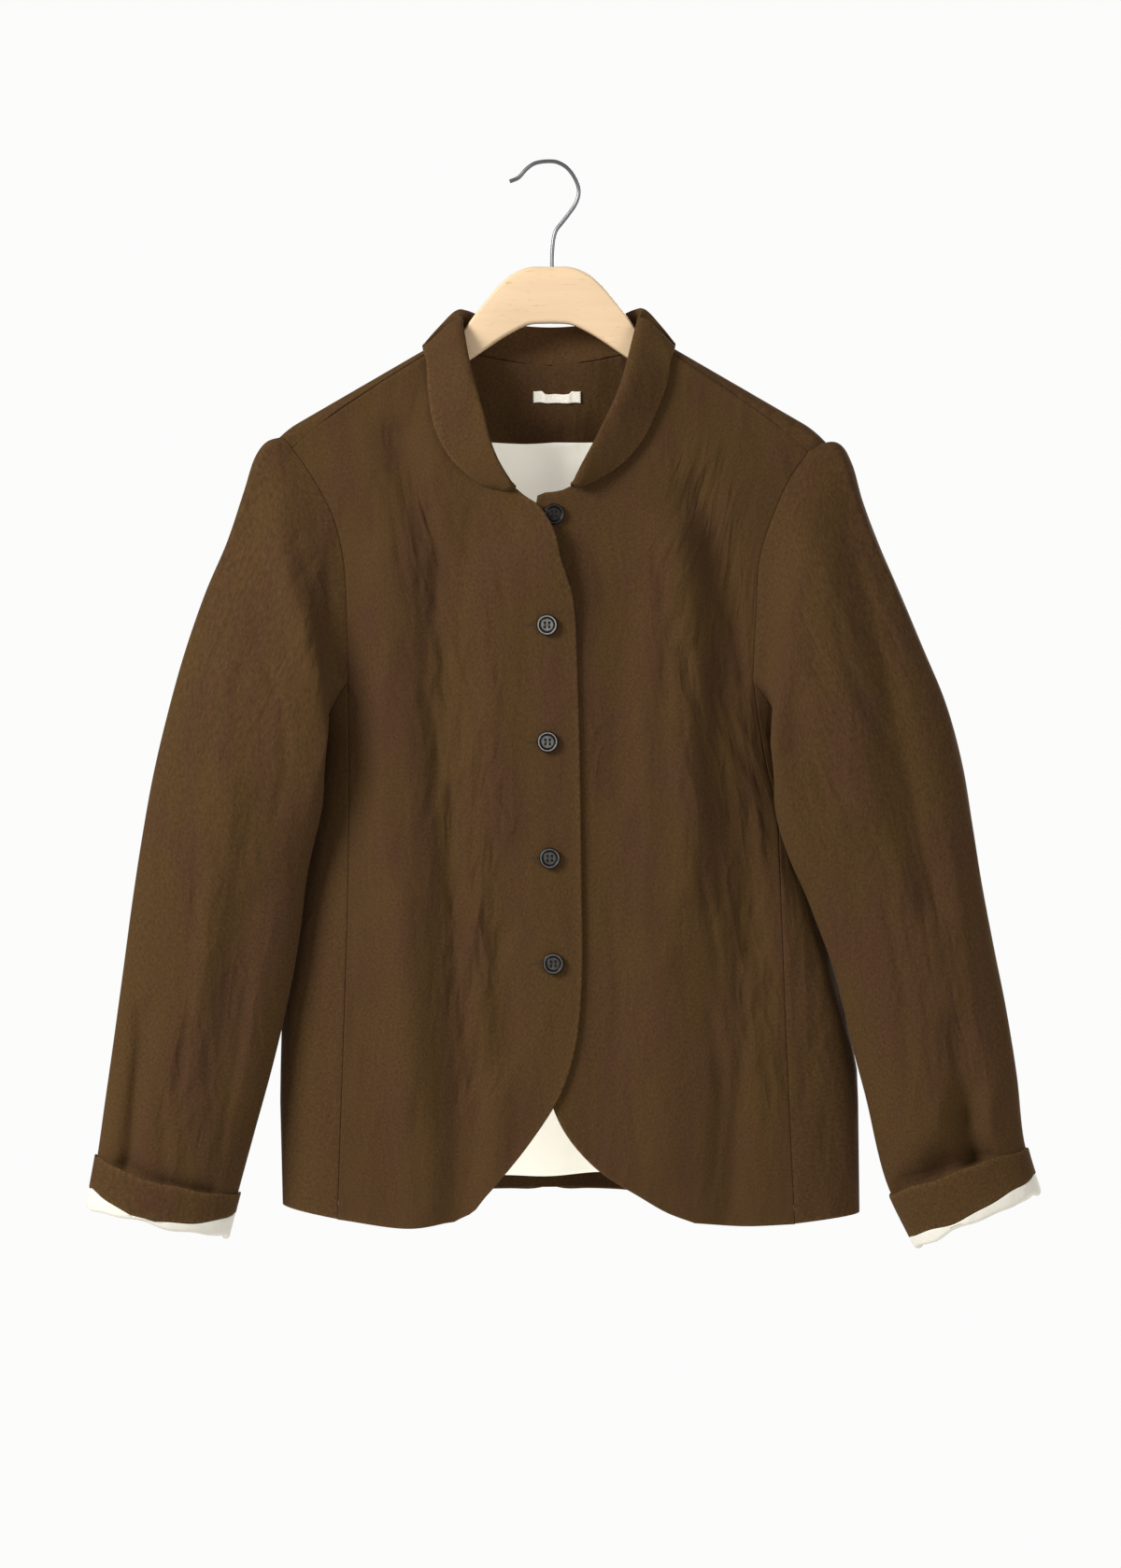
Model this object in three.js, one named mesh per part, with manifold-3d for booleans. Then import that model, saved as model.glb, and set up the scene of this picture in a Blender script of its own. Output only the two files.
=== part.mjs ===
// A washed wool and linen jacket that hangs, buttoned, on a flat wooden clothes hanger.
// Millimetres, +Z up, front towards -Y. The origin is the inner top of the hanger's hook.
// "Right" and "left" are the wearer's: the right front is on the -X side and lies on top.

import * as THREE from 'three';
import * as BufferGeometryUtils from 'three/addons/utils/BufferGeometryUtils.js';
import Module from 'manifold-3d';

const wasm = await Module();
wasm.setup();

// Cloth and clearances

const CLOTH = 1.6;
const LINING = 1.2;
const LABEL = 1.0;
const SEAM_GAP = 0.4;
const SEAM_NEAR = 0.05;
const LAYER_GAP = 0.5;
const RIGHT = -1;
const LEFT = 1;

// Form of the body: a rounded ridge over the hanger that swells to the chest and the back

const NECK_HALF = 79.8;
const NECK_Z = -132.7;
const NECK_RISE = 0.3;
const SHOULDER_SLOPE = 0.58;
const SHOULDER_DROP = 0.015;
const SHOULDER_DROP_START = 110;
const RIDGE_ROUND = 9.2;
const FRONT_SWELL = 31;
const BACK_SWELL = 27;
const SWELL_LENGTH = 150;
const SWELL_START = 14;
const SIDE_POWER = 2.6;
const SIDE_BLEND = 120;
const FOLD_START = 50;

// Numbers of cells in each panel's grid, and of sides or steps in the hard pieces

const FRONT_COLUMNS = 12;
const SHOULDER_COLUMNS = 4;
const NECK_COLUMNS = 12;
const SIDE_COLUMNS = 6;
const ARMHOLE_ROWS = 8;
const SEAM_ROWS = 13;
const NECKLINE_ROWS = 9;
const FRONT_ROWS = ARMHOLE_ROWS + SEAM_ROWS;
const BACK_COLUMNS = 2 * SHOULDER_COLUMNS + NECK_COLUMNS;
const WRAP_ROWS = 4;
const BACK_ARMHOLE_ROWS = WRAP_ROWS + 5;
const BACK_ROWS = BACK_ARMHOLE_ROWS + SEAM_ROWS;
const FACING_ROW = WRAP_ROWS + 1;
const FACING_MARGIN = 3;
const HEM_FACING_SHARE = 0.05;
const YOKE_SIDES = 8;
const BORE_SIDES = 12;
const HOOK_STEPS = 30;
const HOOK_SIDES = 8;
const BUTTON_SIDES = 18;
const BUTTON_HOLE_SIDES = 6;
const RIM_POINTS = 12;

// Names the columns of a short table, and gives one object for each row
function table(columns, rows) {
  return rows.map((row) => Object.fromEntries(columns.map((name, i) => [name, row[i]])));
}

// Half width of the body at its side edge
const BODY_EDGE = table(['z', 'right', 'left'], [
  [-200, 222, 230],
  [-300, 205, 212],
  [-380, 184, 187],
  [-430, 171, 172],
  [-485, 176, 179],
  [-530, 184, 190],
  [-580, 193, 206],
  [-640, 201, 222],
  [-681, 202, 229.8],
  [-705, 202.3, 230.8],
  [-790, 200.2, 231.8],
]);

// Distance of the side panel's seams from the centre line
const SIDE_SEAM = table(['z', 'frontRight', 'frontLeft', 'backRight', 'backLeft'], [
  [-389, 151.5, 152, 147, 148],
  [-440, 150.8, 159, 143, 148],
  [-490, 150.6, 170.8, 141, 150],
  [-565, 151.5, 173.3, 140, 154],
  [-665, 154.7, 176.8, 143, 159],
  [-795, 159, 182.7, 148, 166],
]);

// The shoulder seam runs in front of the shoulder fold, this far below it
const SHOULDER_SEAM = table(['x', 'right', 'left'], [
  [83.3, 3.5, 3.5],
  [125, 5, 7],
  [155, 7.7, 9.6],
  [180, 10.6, 14],
  [193.5, 16, 18.9],
]);

const ARMHOLE_FRONT = table(['rightX', 'rightZ', 'leftX', 'leftZ'], [
  [178, -237.6, 179.2, -239],
  [163, -266.3, 167, -266],
  [155, -298, 157, -298],
  [152.3, -340, 154.3, -340],
  [151.5, -389, 152, -389],
]);

const ARMHOLE_BACK = table(['rightX', 'rightZ', 'leftX', 'leftZ'], [
  [199, -223, 204.5, -227],
  [189, -246, 192, -249],
  [177, -275, 179, -277],
  [165, -308, 167, -309],
  [155, -345, 157, -345],
  [147, -389, 148, -389],
]);

const SHOULDER_POINT = { right: 204.4, left: 210.3 };

// How far the underarm hangs below the top of the side seams, and how its line and the hem's curve
const UNDERARM_DROP = 40;
const UNDERARM_CURVE = 2;
const SIDE_HEM_CURVE = 1.5;

const NECKLINE_RIGHT = table(['x', 'z'], [
  [-79.5, -154],
  [-77.2, -172],
  [-71.4, -194],
  [-61, -215],
  [-45.5, -232.7],
  [-25.5, -246],
]);

const NECKLINE_LEFT = table(['x', 'z'], [
  [80.3, -152],
  [77.5, -172],
  [72, -194],
  [61.6, -214],
  [46, -229],
  [15, -244.2],
]);

// Back neck seam, from beside the shoulder fold to the centre back
const NECKLINE_BACK = table(['x', 'z'], [
  [75, -136.6],
  [66, -140.8],
  [50, -145],
  [27, -149.4],
  [0, -152],
]);
const NECK_FOLD_X = 80.5;

// Ways down the cloth from the shoulder fold at which the back panel's rows cross its shoulders.
// The first of its wrap rows lies halfway from the seam in front to the fold.
const WRAP_WAYS = [0, 7.5, 15];
const WRAP_REACH = 20;
const WRAP_STEP = 5;

// Free edge of each front, from the collar's end down to the lowest point of the cutaway
const FRONT_EDGE_RIGHT = table(['x', 'z'], [
  [-25.5, -246],
  [-8.4, -259.3],
  [4.2, -274],
  [12, -312],
  [18.5, -365],
  [21.8, -440],
  [23.2, -540],
  [23.6, -612],
  [19, -662],
  [8, -698],
  [-16, -736],
  [-42, -768],
  [-72, -794],
]);

const FRONT_EDGE_LEFT = table(['x', 'z'], [
  [15, -244.2],
  [-10.5, -252.3],
  [-14.5, -285],
  [-17.5, -369],
  [-15.8, -490],
  [-12.8, -610],
  [-6, -676],
  [8, -722],
  [34, -754],
  [68, -776],
  [108, -795],
]);

const HEM_RIGHT = table(['x', 'z'], [
  [-72, -794],
  [-105, -799],
  [-159, -792.5],
]);

const HEM_LEFT = table(['x', 'z'], [
  [108, -795],
  [142, -797.4],
  [182.7, -796],
]);

// Height of the hem at the side panels' seams, at the side edge and at the back
const HEM = {
  right: { front: -792.5, edge: -783, back: -782 },
  left: { front: -796, edge: -789, back: -785 },
};
const BACK_HEM_CENTRE = -773;

// Where the back panel's hem meets the columns that start at the shoulder seams' neck ends
const BACK_HEM_SPREAD = { right: -112, left: 130 };

// The overlap: the right front stands this far forward of the body, and the left front behind it
const OVERLAP_STEP = 1.4;
const OVERLAP_HALF = 34;
const OVERLAP_FADE = 40;
const CORNER_LIFT = { x: -4, z: -266, height: 4.2, reach: 26 };

// Largest folds of each wall: a line of points, how deep the cloth lies there, and half its width.
// A positive depth is a trough towards the inside, a negative one a ridge.
const FRONT_FOLDS = table(['depth', 'width', 'line'], [
  [6.5, 15, [[-115, -205], [-84, -300], [-80, -440], [-64, -604], [-60, -750]]],
  [-4.5, 19, [[-124, -300], [-117, -480], [-108, -700]]],
  [-3, 15, [[-44, -310], [-40, -500]]],
  [3, 13, [[-38, -585], [-34, -668]]],
  [8, 14, [[116, -262], [137, -345], [126, -440], [140, -505], [150, -590]]],
  [-5, 15, [[96, -276], [109, -378], [104, -545]]],
  [5, 15, [[139, -690], [133, -790]]],
  [-3.5, 18, [[78, -600], [84, -740]]],
  [3, 14, [[56, -330], [50, -470]]],
]);

const BACK_FOLDS = table(['depth', 'width', 'line'], [
  [5, 17, [[-118, -300], [-92, -430], [-88, -640]]],
  [-4, 20, [[-66, -360], [-56, -560], [-60, -779]]],
  [4.5, 18, [[-14, -520], [-8, -779]]],
  [-4, 20, [[40, -330], [46, -520], [38, -779]]],
  [5.5, 17, [[124, -290], [96, -420], [92, -600], [98, -700]]],
  [3, 14, [[-20, -190], [16, -196]]],
]);

// Sleeve sections from the armhole to the turned-up end. Outer and inner are the edges seen from
// the front, y their depth; front and back are the half depths between them, keep the share of
// the armhole's own shape that is left, and dip how far the front hangs lower than the back.
const SLEEVE_COLUMNS = [
  'outerX', 'outerZ', 'outerY', 'innerX', 'innerZ', 'innerY', 'front', 'back', 'keep', 'dip',
];

const SLEEVE_RIGHT = table(SLEEVE_COLUMNS, [
  [213.5, -211, -1, 179, -434, -6, 24, 23, 0.88, 0],
  [221, -221, -2, 179.5, -442, -17, 26, 24, 0.78, 0],
  [229.5, -247, -3, 175, -453, -27, 28, 25, 0.64, 0],
  [242, -285, -5, 170.5, -466, -32, 29, 26, 0.46, 0],
  [258, -323, -8, 170.5, -480, -33, 29, 26, 0.28, 0],
  [274, -370, -12, 173.5, -496, -32, 28, 26, 0.16, 0],
  [287, -418, -16, 178.5, -516, -30, 27, 25, 0.07, 0],
  [297, -462, -19, 183.2, -540, -28.5, 26, 24, 0, 0],
  [305, -508, -22, 187, -572, -27.5, 25, 23, 0, 1],
  [312, -555, -24, 192, -604, -27, 25, 22, 0, 2],
  [319, -608, -25, 200, -643, -26, 25, 22, 0, 3],
  [326, -660, -26, 209.5, -682, -26, 25, 22, 0, 4],
  [332.5, -706, -26, 220.5, -722, -26, 25, 22, 0, 5],
  [338, -745, -26, 233, -768, -26, 25, 22, 0, 6],
  [344.5, -781, -26, 242, -803, -26, 25, 22, 0, 6],
]);

const SLEEVE_LEFT = table(SLEEVE_COLUMNS, [
  [218.5, -213.5, -1, 179, -434, -7, 24, 23, 0.88, 0],
  [226, -226, -2, 180.5, -443, -17, 26, 24, 0.78, 0],
  [234, -254, -3, 175, -455, -28, 28, 25, 0.64, 0],
  [247, -289, -5, 168.5, -469, -34, 29, 26, 0.46, 0],
  [262, -324, -8, 168.5, -484, -36, 29, 26, 0.28, 0],
  [278.5, -364, -12, 172, -501, -36, 28, 26, 0.16, 0],
  [296, -407, -16, 180, -524, -34.5, 27, 25, 0.07, 0],
  [308, -452, -19, 191, -548, -32, 26, 24, 0, 0],
  [315.5, -498, -22, 201.5, -575, -30, 25, 23, 0, 1],
  [322, -540, -24, 211, -600, -28, 25, 22, 0, 2],
  [331, -588, -25, 219.5, -632, -27, 25, 22, 0, 3],
  [340.5, -636, -26, 228, -668, -26, 25, 22, 0, 4],
  [348.5, -686, -26, 237, -702, -26, 25, 22, 0, 5],
  [354, -735, -26, 252, -764, -26, 25, 22, 0, 6],
  [364.5, -771, -26, 274, -811, -26, 25, 22, 0, 6],
]);

const SLEEVE_FOLDS = table(['depth', 'width', 'line'], [
  [-5, 12, [[-207, -262], [-196, -310], [-184, -345], [-170, -385]]],
  [4, 12, [[-186, -285], [-172, -330], [-166, -372]]],
  [-3, 14, [[-238, -470], [-262, -640]]],
  [4, 16, [[-226, -560], [-246, -690]]],
  [6.5, 14, [[227, -273], [239, -338], [251, -384], [271, -495], [285, -555]]],
  [-4, 16, [[205, -300], [222, -400], [236, -480]]],
  [4, 12, [[181, -402], [185, -440]]],
  [4, 13, [[312, -705], [309, -748]]],
]);

// Half depth of the armhole, and how a sleeve rests on the body below it
const ARMHOLE_BULGE = 23;
const SLEEVE_CLEAR = 3.4;
const SLEEVE_REST_Z = -402;
const SLEEVE_REST_FADE = 22;

// The turned-up sleeve end
const CUFF_BAND = {
  right: { inner: 19, middle: 28, outer: 26 },
  left: { inner: 33, middle: 33, outer: 21 },
};
const CUFF_REVEAL_FRONT = 1.8;
const CUFF_REVEAL_SIDE = 7.5;
const CUFF_LAYER = CLOTH / 2 + LAYER_GAP + CLOTH / 2;
const CUFF_LINING_UP = 36;
const CUFF_HALF_WIDTH = 55;
const SHELL_END = 1.2;

// Collar stations from the front end to the centre back: the roll at the top of the stand and the
// edge of the fall. The seam under them is the neckline.
const COLLAR_COLUMNS = ['rollX', 'rollY', 'rollZ', 'edgeX', 'edgeZ'];

const COLLAR_RIGHT = table(COLLAR_COLUMNS, [
  [-23.5, -33.5, -244, -29.5, -248.2],
  [-29, -36.5, -238.5, -40, -246],
  [-34.5, -37.5, -231, -50.5, -243],
  [-40, -37.5, -220.5, -61.5, -236],
  [-45, -36, -207, -72.5, -226],
  [-49, -33.5, -191, -81, -213],
  [-53.5, -30, -175, -87.5, -196],
  [-58, -24.5, -158.5, -91, -174],
  [-62, -16.5, -140, -92.5, -153.5],
  [-65, -7, -121, -94, -143.5],
  [-66, 2, -112.5, -93.5, -141.3],
  [-61, 10, -112, -89, -144.8],
  [-54, 15, -113.5, -77, -153],
  [-42, 18.5, -117, -60, -159],
  [-22, 20.5, -122, -32, -162.5],
  [0, 21, -124.3, 0, -163.5],
]);

const COLLAR_LEFT = table(COLLAR_COLUMNS, [
  [15, -31.5, -242.5, 19, -245.6],
  [18, -34, -237, 28, -242.5],
  [22.5, -36, -228.5, 38.5, -237.5],
  [29, -36.5, -217, 50, -230.5],
  [36, -35.5, -204, 60.5, -221],
  [43, -33.5, -189.5, 71, -207],
  [50, -30, -173.5, 80, -187],
  [55.5, -24.5, -156.5, 87, -168],
  [60, -16.5, -138.5, 90, -151.5],
  [64.5, -7, -120, 92, -142.4],
  [66.5, 2, -111.5, 91.5, -140.1],
  [61, 10, -111.5, 87.5, -144],
  [54, 15, -113.5, 77, -153],
  [42, 18.5, -117, 60, -159],
  [22, 20.5, -122, 32, -162.5],
  [0, 21, -124.3, 0, -163.5],
]);

const COLLAR_FOLD = 2.9;
const COLLAR_FOLD_SHARE = 0.3;
const COLLAR_ROLL = 0.25;
const COLLAR_CLEAR = 2.7;
const COLLAR_LIFT = 0.6;

// The label under the collar at the back neck
const NECK_LABEL = { x0: -13, x1: 23, z0: -172, z1: -181, columns: 4 };

const BUTTON = {
  radius: 8, thickness: 3.4, rim: 1.1, dish: 5.2, dishDepth: 0.9, holeRadius: 0.9, holePitch: 1.7,
};
const BUTTONS = table(['x', 'z', 'front'], [
  [3, -265.4, 'left'],
  [-2, -348, 'right'],
  [-1.6, -435.7, 'right'],
  [0, -522.5, 'right'],
  [2.6, -601.2, 'right'],
]);

// Hanger: half outline of the wooden yoke, and the steel hook's centre line. Past the neck the
// yoke's top follows the shoulder fold.
const YOKE_THICKNESS = 11;
const YOKE_EDGE = 3.2;
const YOKE = table(['x', 'top', 'bottom'], [
  [0, -78, -120.5],
  [16, -78.4, -121.6],
  [29, -83.8, -127.6],
  [38, -91.4, -133],
  [48, -103, -139.8],
  [58, -115.6, -146.6],
  [66, -126.6, -151.6],
  [73, -132, -155.2],
  [80, -136.4, -158.6],
  [90, 0, -163.8],
  [120, 0, -180.6],
  [160, 0, -202.6],
  [182, 0, -213.6],
  [190, 0, -213.6],
]);
const YOKE_SEAT = 2.75;
const YOKE_END_START = 178;
const YOKE_END_DROP = 0.024;

const HOOK_RADIUS = 1.5;
const HOOK_DEPTH = 14;
const HOOK_BORE_GAP = 0.3;
const HOOK = table(['x', 'z'], [
  [-30.5, -13.7],
  [-24.1, -10.9],
  [-18.2, -4.6],
  [-12.6, -0.5],
  [-6.7, 1.1],
  [0, 1.5],
  [4.9, 0.9],
  [11.9, -2.8],
  [17.7, -9.7],
  [21.2, -17.9],
  [21.4, -23.7],
  [18.9, -30.7],
  [14.3, -37.6],
  [8.4, -45.2],
  [4.4, -50.4],
  [2.7, -56.2],
  [1.7, -65.5],
  [1.4, -77.1],
]);

// Materials

function finish(color, roughness, metalness = 0) {
  return new THREE.MeshStandardMaterial({ color, roughness, metalness });
}

const FINISHES = {
  shell: () => finish(0x5a4429, 0.92),
  collar: () => finish(0x5c472b, 0.9),
  cream: () => finish(0xeee8d7, 0.85),
  horn: () => finish(0x241b15, 0.35),
  wood: () => finish(0xe6bf93, 0.6),
  steel: () => finish(0x9a9c9e, 0.3, 1),
};

// Small helpers

function lerp(a, b, t) {
  return a + (b - a) * t;
}

function clamp01(t) {
  return Math.min(1, Math.max(0, t));
}

function smoothstep(t) {
  const c = clamp01(t);
  return c * c * (3 - 2 * c);
}

// Value of one column of a table at a height between two of its rows
function atHeight(rows, z, column) {
  let i = 1;
  while (i < rows.length - 1 && rows[i].z > z) i += 1;
  const t = clamp01((z - rows[i - 1].z) / (rows[i].z - rows[i - 1].z));
  return lerp(rows[i - 1][column], rows[i][column], t);
}

function nameOf(side) {
  return side === RIGHT ? 'right' : 'left';
}

function capital(word) {
  return word[0].toUpperCase() + word.slice(1);
}

// Evenly spaced points on a smooth curve through the given ones
function spaced(points, cells) {
  const curve = new THREE.CatmullRomCurve3(points, false, 'centripetal');
  curve.arcLengthDivisions = 400;
  return curve.getSpacedPoints(cells);
}

function running(points) {
  const lengths = [0];
  for (let i = 1; i < points.length; i += 1) {
    lengths.push(lengths[i - 1] + points[i].distanceTo(points[i - 1]));
  }
  return lengths;
}

function shares(points) {
  const lengths = running(points);
  const total = lengths[lengths.length - 1];
  return lengths.map((length) => length / total);
}

// Distance from a point to a line of points, all in the front view
function distanceToLine(x, z, line) {
  let nearest = Infinity;
  for (let i = 1; i < line.length; i += 1) {
    const [ax, az] = line[i - 1];
    const [bx, bz] = line[i];
    const length2 = (bx - ax) ** 2 + (bz - az) ** 2;
    const t = clamp01(((x - ax) * (bx - ax) + (z - az) * (bz - az)) / length2);
    nearest = Math.min(nearest, Math.hypot(x - lerp(ax, bx, t), z - lerp(az, bz, t)));
  }
  return nearest;
}

function foldDepth(folds, x, z) {
  let depth = 0;
  for (const fold of folds) {
    depth += fold.depth * Math.exp(-((distanceToLine(x, z, fold.line) / fold.width) ** 2));
  }
  return depth;
}

// The body's surface. A place on it is x and q: q is the way down the cloth from the shoulder
// fold, negative on the front and positive on the back.

const ROUND_LENGTH = RIDGE_ROUND * Math.PI / 2;

function ridgeZ(x) {
  const out = Math.abs(x) - NECK_HALF;
  if (out < 0) return NECK_Z - NECK_RISE * out;
  const drop = SHOULDER_DROP * Math.max(0, out - SHOULDER_DROP_START) ** 2;
  return NECK_Z - SHOULDER_SLOPE * out - drop;
}

function dropOf(q) {
  const way = Math.abs(q);
  if (way < ROUND_LENGTH) return RIDGE_ROUND * (1 - Math.cos(way / RIDGE_ROUND));
  return RIDGE_ROUND + way - ROUND_LENGTH;
}

function wayOf(drop) {
  if (drop < RIDGE_ROUND) return RIDGE_ROUND * Math.acos(1 - Math.max(0, drop) / RIDGE_ROUND);
  return ROUND_LENGTH + drop - RIDGE_ROUND;
}

function bodyEdge(x, z) {
  return atHeight(BODY_EDGE, z, x < 0 ? 'right' : 'left');
}

function sideShape(x, z) {
  const share = Math.min(1, Math.abs(x) / bodyEdge(x, z));
  return (1 - share ** SIDE_POWER) ** (1 / SIDE_POWER);
}

function wallDepth(x, z, front) {
  const drop = Math.max(0, ridgeZ(x) - z);
  const below = Math.max(0, drop - RIDGE_ROUND);
  const angle = drop < RIDGE_ROUND ? Math.acos(1 - drop / RIDGE_ROUND) : Math.PI / 2;
  const side = sideShape(x, z);
  const hold = smoothstep(drop / SIDE_BLEND);
  const round = RIDGE_ROUND * Math.sin(angle) * lerp(1, side, hold);
  const swell = (1 - Math.exp(-below / SWELL_LENGTH)) * (1 - Math.exp(-below / SWELL_START));
  const folds = front ? FRONT_FOLDS : BACK_FOLDS;
  const fold = foldDepth(folds, x, z) * side * smoothstep((drop - RIDGE_ROUND) / FOLD_START);
  return round + (front ? FRONT_SWELL : BACK_SWELL) * swell * side - fold;
}

function bodyPoint(x, q) {
  const z = ridgeZ(x) - dropOf(q);
  const depth = wallDepth(x, z, q < 0);
  return new THREE.Vector3(x, q < 0 ? -depth : depth, z);
}

function frontPoint(x, z) {
  return new THREE.Vector3(x, -wallDepth(x, z, true), z);
}

function backPoint(x, z) {
  return new THREE.Vector3(x, wallDepth(x, z, false), z);
}

// Outlines of the panels

function sideSeamX(side, wall, z) {
  return side * atHeight(SIDE_SEAM, z, wall + capital(nameOf(side)));
}

// Shares of the side seam at which its rows lie: even, with a short last one for the hem facing
function seamShare(row) {
  if (row === SEAM_ROWS) return 1;
  return row / (SEAM_ROWS - 1) * (1 - HEM_FACING_SHARE);
}

function sideSeam(side, wall) {
  const top = SIDE_SEAM[0].z;
  const bottom = HEM[nameOf(side)][wall];
  const points = [];
  for (let row = 1; row <= SEAM_ROWS; row += 1) {
    const z = lerp(top, bottom, seamShare(row));
    points.push(new THREE.Vector3(sideSeamX(side, wall, z), 0, z));
  }
  return points;
}

function shoulderSeam(side) {
  const points = [];
  const rows = SHOULDER_SEAM;
  const far = rows[rows.length - 1].x;
  for (let i = 0; i <= SHOULDER_COLUMNS; i += 1) {
    const x = lerp(far, rows[0].x, i / SHOULDER_COLUMNS);
    const drop = atHeight(rows.map((row) => ({ ...row, z: -row.x })), -x, nameOf(side));
    points.push(new THREE.Vector3(side * x, 0, ridgeZ(x) - drop));
  }
  return points;
}

// The front's finer columns lie on the straight stretches between the back's ones
function divided(points, cells) {
  const each = cells / (points.length - 1);
  const fine = [];
  for (let i = 0; i <= cells; i += 1) {
    const from = Math.min(points.length - 2, Math.floor(i / each));
    fine.push(points[from].clone().lerp(points[from + 1], i / each - from));
  }
  return fine;
}

function armholePoints(rows, side) {
  const name = nameOf(side);
  return rows.map((row) => new THREE.Vector3(side * row[`${name}X`], 0, row[`${name}Z`]));
}

function flatten(rows) {
  return rows.map((row) => new THREE.Vector3(row.x, 0, row.z));
}

// A patch between four outlines in the flat, after Coons. The top and bottom run along the
// columns, first and last down the rows.
function coonsPatch(top, bottom, first, last) {
  const firstShare = shares(first);
  const lastShare = shares(last);
  const rows = [];
  for (let i = 0; i < first.length; i += 1) {
    const v = (firstShare[i] + lastShare[i]) / 2;
    const row = [];
    for (let j = 0; j < top.length; j += 1) {
      const u = j / (top.length - 1);
      const point = new THREE.Vector3();
      point.addScaledVector(top[j], 1 - v).addScaledVector(bottom[j], v);
      point.addScaledVector(first[i], 1 - u).addScaledVector(last[i], u);
      point.addScaledVector(top[0], -(1 - u) * (1 - v));
      point.addScaledVector(top[top.length - 1], -u * (1 - v));
      point.addScaledVector(bottom[0], -(1 - u) * v);
      point.addScaledVector(bottom[top.length - 1], -u * v);
      row.push(point);
    }
    rows.push(row);
  }
  return rows;
}

function frontPanel(side) {
  const seamTop = divided(shoulderSeam(side), FRONT_COLUMNS);
  const armhole = spaced([seamTop[0], ...armholePoints(ARMHOLE_FRONT, side)], ARMHOLE_ROWS);
  const outerEdge = [...armhole, ...sideSeam(side, 'front')];
  const neckRows = flatten(side === RIGHT ? NECKLINE_RIGHT : NECKLINE_LEFT);
  const neckline = spaced([seamTop[FRONT_COLUMNS], ...neckRows], NECKLINE_ROWS);
  const edgeRows = flatten(side === RIGHT ? FRONT_EDGE_RIGHT : FRONT_EDGE_LEFT);
  const freeEdge = spaced(edgeRows, FRONT_ROWS - NECKLINE_ROWS);
  const innerEdge = [...neckline, ...freeEdge.slice(1)];
  const hemRows = flatten(side === RIGHT ? HEM_RIGHT : HEM_LEFT);
  const hem = spaced(hemRows, FRONT_COLUMNS).reverse();
  const flat = coonsPatch(seamTop, hem, outerEdge, innerEdge);
  const rows = flat.map((row) => row.map((point) => onFront(point.x, point.z, side)));
  rows[0] = divided(shoulderSeam(side).map((point) => frontPoint(point.x, point.z)), FRONT_COLUMNS);
  return side === RIGHT ? rows : rows.map((row) => row.reverse());
}

// The fronts part where they overlap, and the right one's top corner stands off a button
function onFront(x, z, side) {
  const point = frontPoint(x, z);
  const near = 1 - smoothstep((Math.abs(x) - OVERLAP_HALF) / OVERLAP_FADE);
  point.y += side * OVERLAP_STEP * near;
  if (side === RIGHT) {
    const away = Math.hypot(x - CORNER_LIFT.x, z - CORNER_LIFT.z) / CORNER_LIFT.reach;
    point.y -= CORNER_LIFT.height * Math.exp(-(away ** 2));
  }
  return point;
}

// The back panel's outlines are laid out in x and q, so that it wraps over the shoulder fold
function inCloth(point, front) {
  const way = wayOf(ridgeZ(point.x) - point.z);
  return new THREE.Vector3(point.x, 0, front ? way : -way);
}

function backArmhole(side) {
  const seamEnd = inCloth(shoulderSeam(side)[0], true);
  const fold = side * SHOULDER_POINT[nameOf(side)];
  const wrap = WRAP_WAYS.map((way) => new THREE.Vector3(fold, 0, -way));
  wrap.unshift(seamEnd.clone().lerp(wrap[0], 0.5));
  const lower = armholePoints(ARMHOLE_BACK, side).map((point) => inCloth(point, false));
  const rest = spaced([wrap[WRAP_ROWS - 1], ...lower], BACK_ARMHOLE_ROWS - WRAP_ROWS);
  return [seamEnd, ...wrap, ...rest.slice(1)];
}

function backPanel() {
  const outline = (side) => {
    const seam = sideSeam(side, 'back').map((point) => inCloth(point, false));
    return [...backArmhole(side), ...seam];
  };
  const shoulder = (side) => {
    return shoulderSeam(side).map((point) => inCloth(point, true));
  };
  const half = NECKLINE_BACK.map((row) => inCloth(new THREE.Vector3(row.x, 0, row.z), false));
  const fold = new THREE.Vector3(NECK_FOLD_X, 0, 0);
  const leftNeck = [fold, ...half];
  const mirror = (point) => new THREE.Vector3(-point.x, 0, point.z);
  const rightNeck = leftNeck.slice(0, -1).reverse().map(mirror);
  const top = [...shoulder(LEFT), ...leftNeck, ...rightNeck, ...shoulder(RIGHT).reverse()];
  const bottom = backHem().map((point) => inCloth(point, false));
  const left = outline(LEFT);
  const right = outline(RIGHT);
  const wrapped = [];
  for (let i = 1; i <= WRAP_ROWS; i += 1) wrapped.push(wrapRow(top, i, left[i], right[i]));
  const line = wrapped[WRAP_ROWS - 1];
  const lower = coonsPatch(line, bottom, left.slice(WRAP_ROWS), right.slice(WRAP_ROWS));
  const flat = [top, ...wrapped.slice(0, -1), ...lower];
  return flat.map((row) => row.map((point) => bodyPoint(point.x, -point.z)));
}

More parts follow.
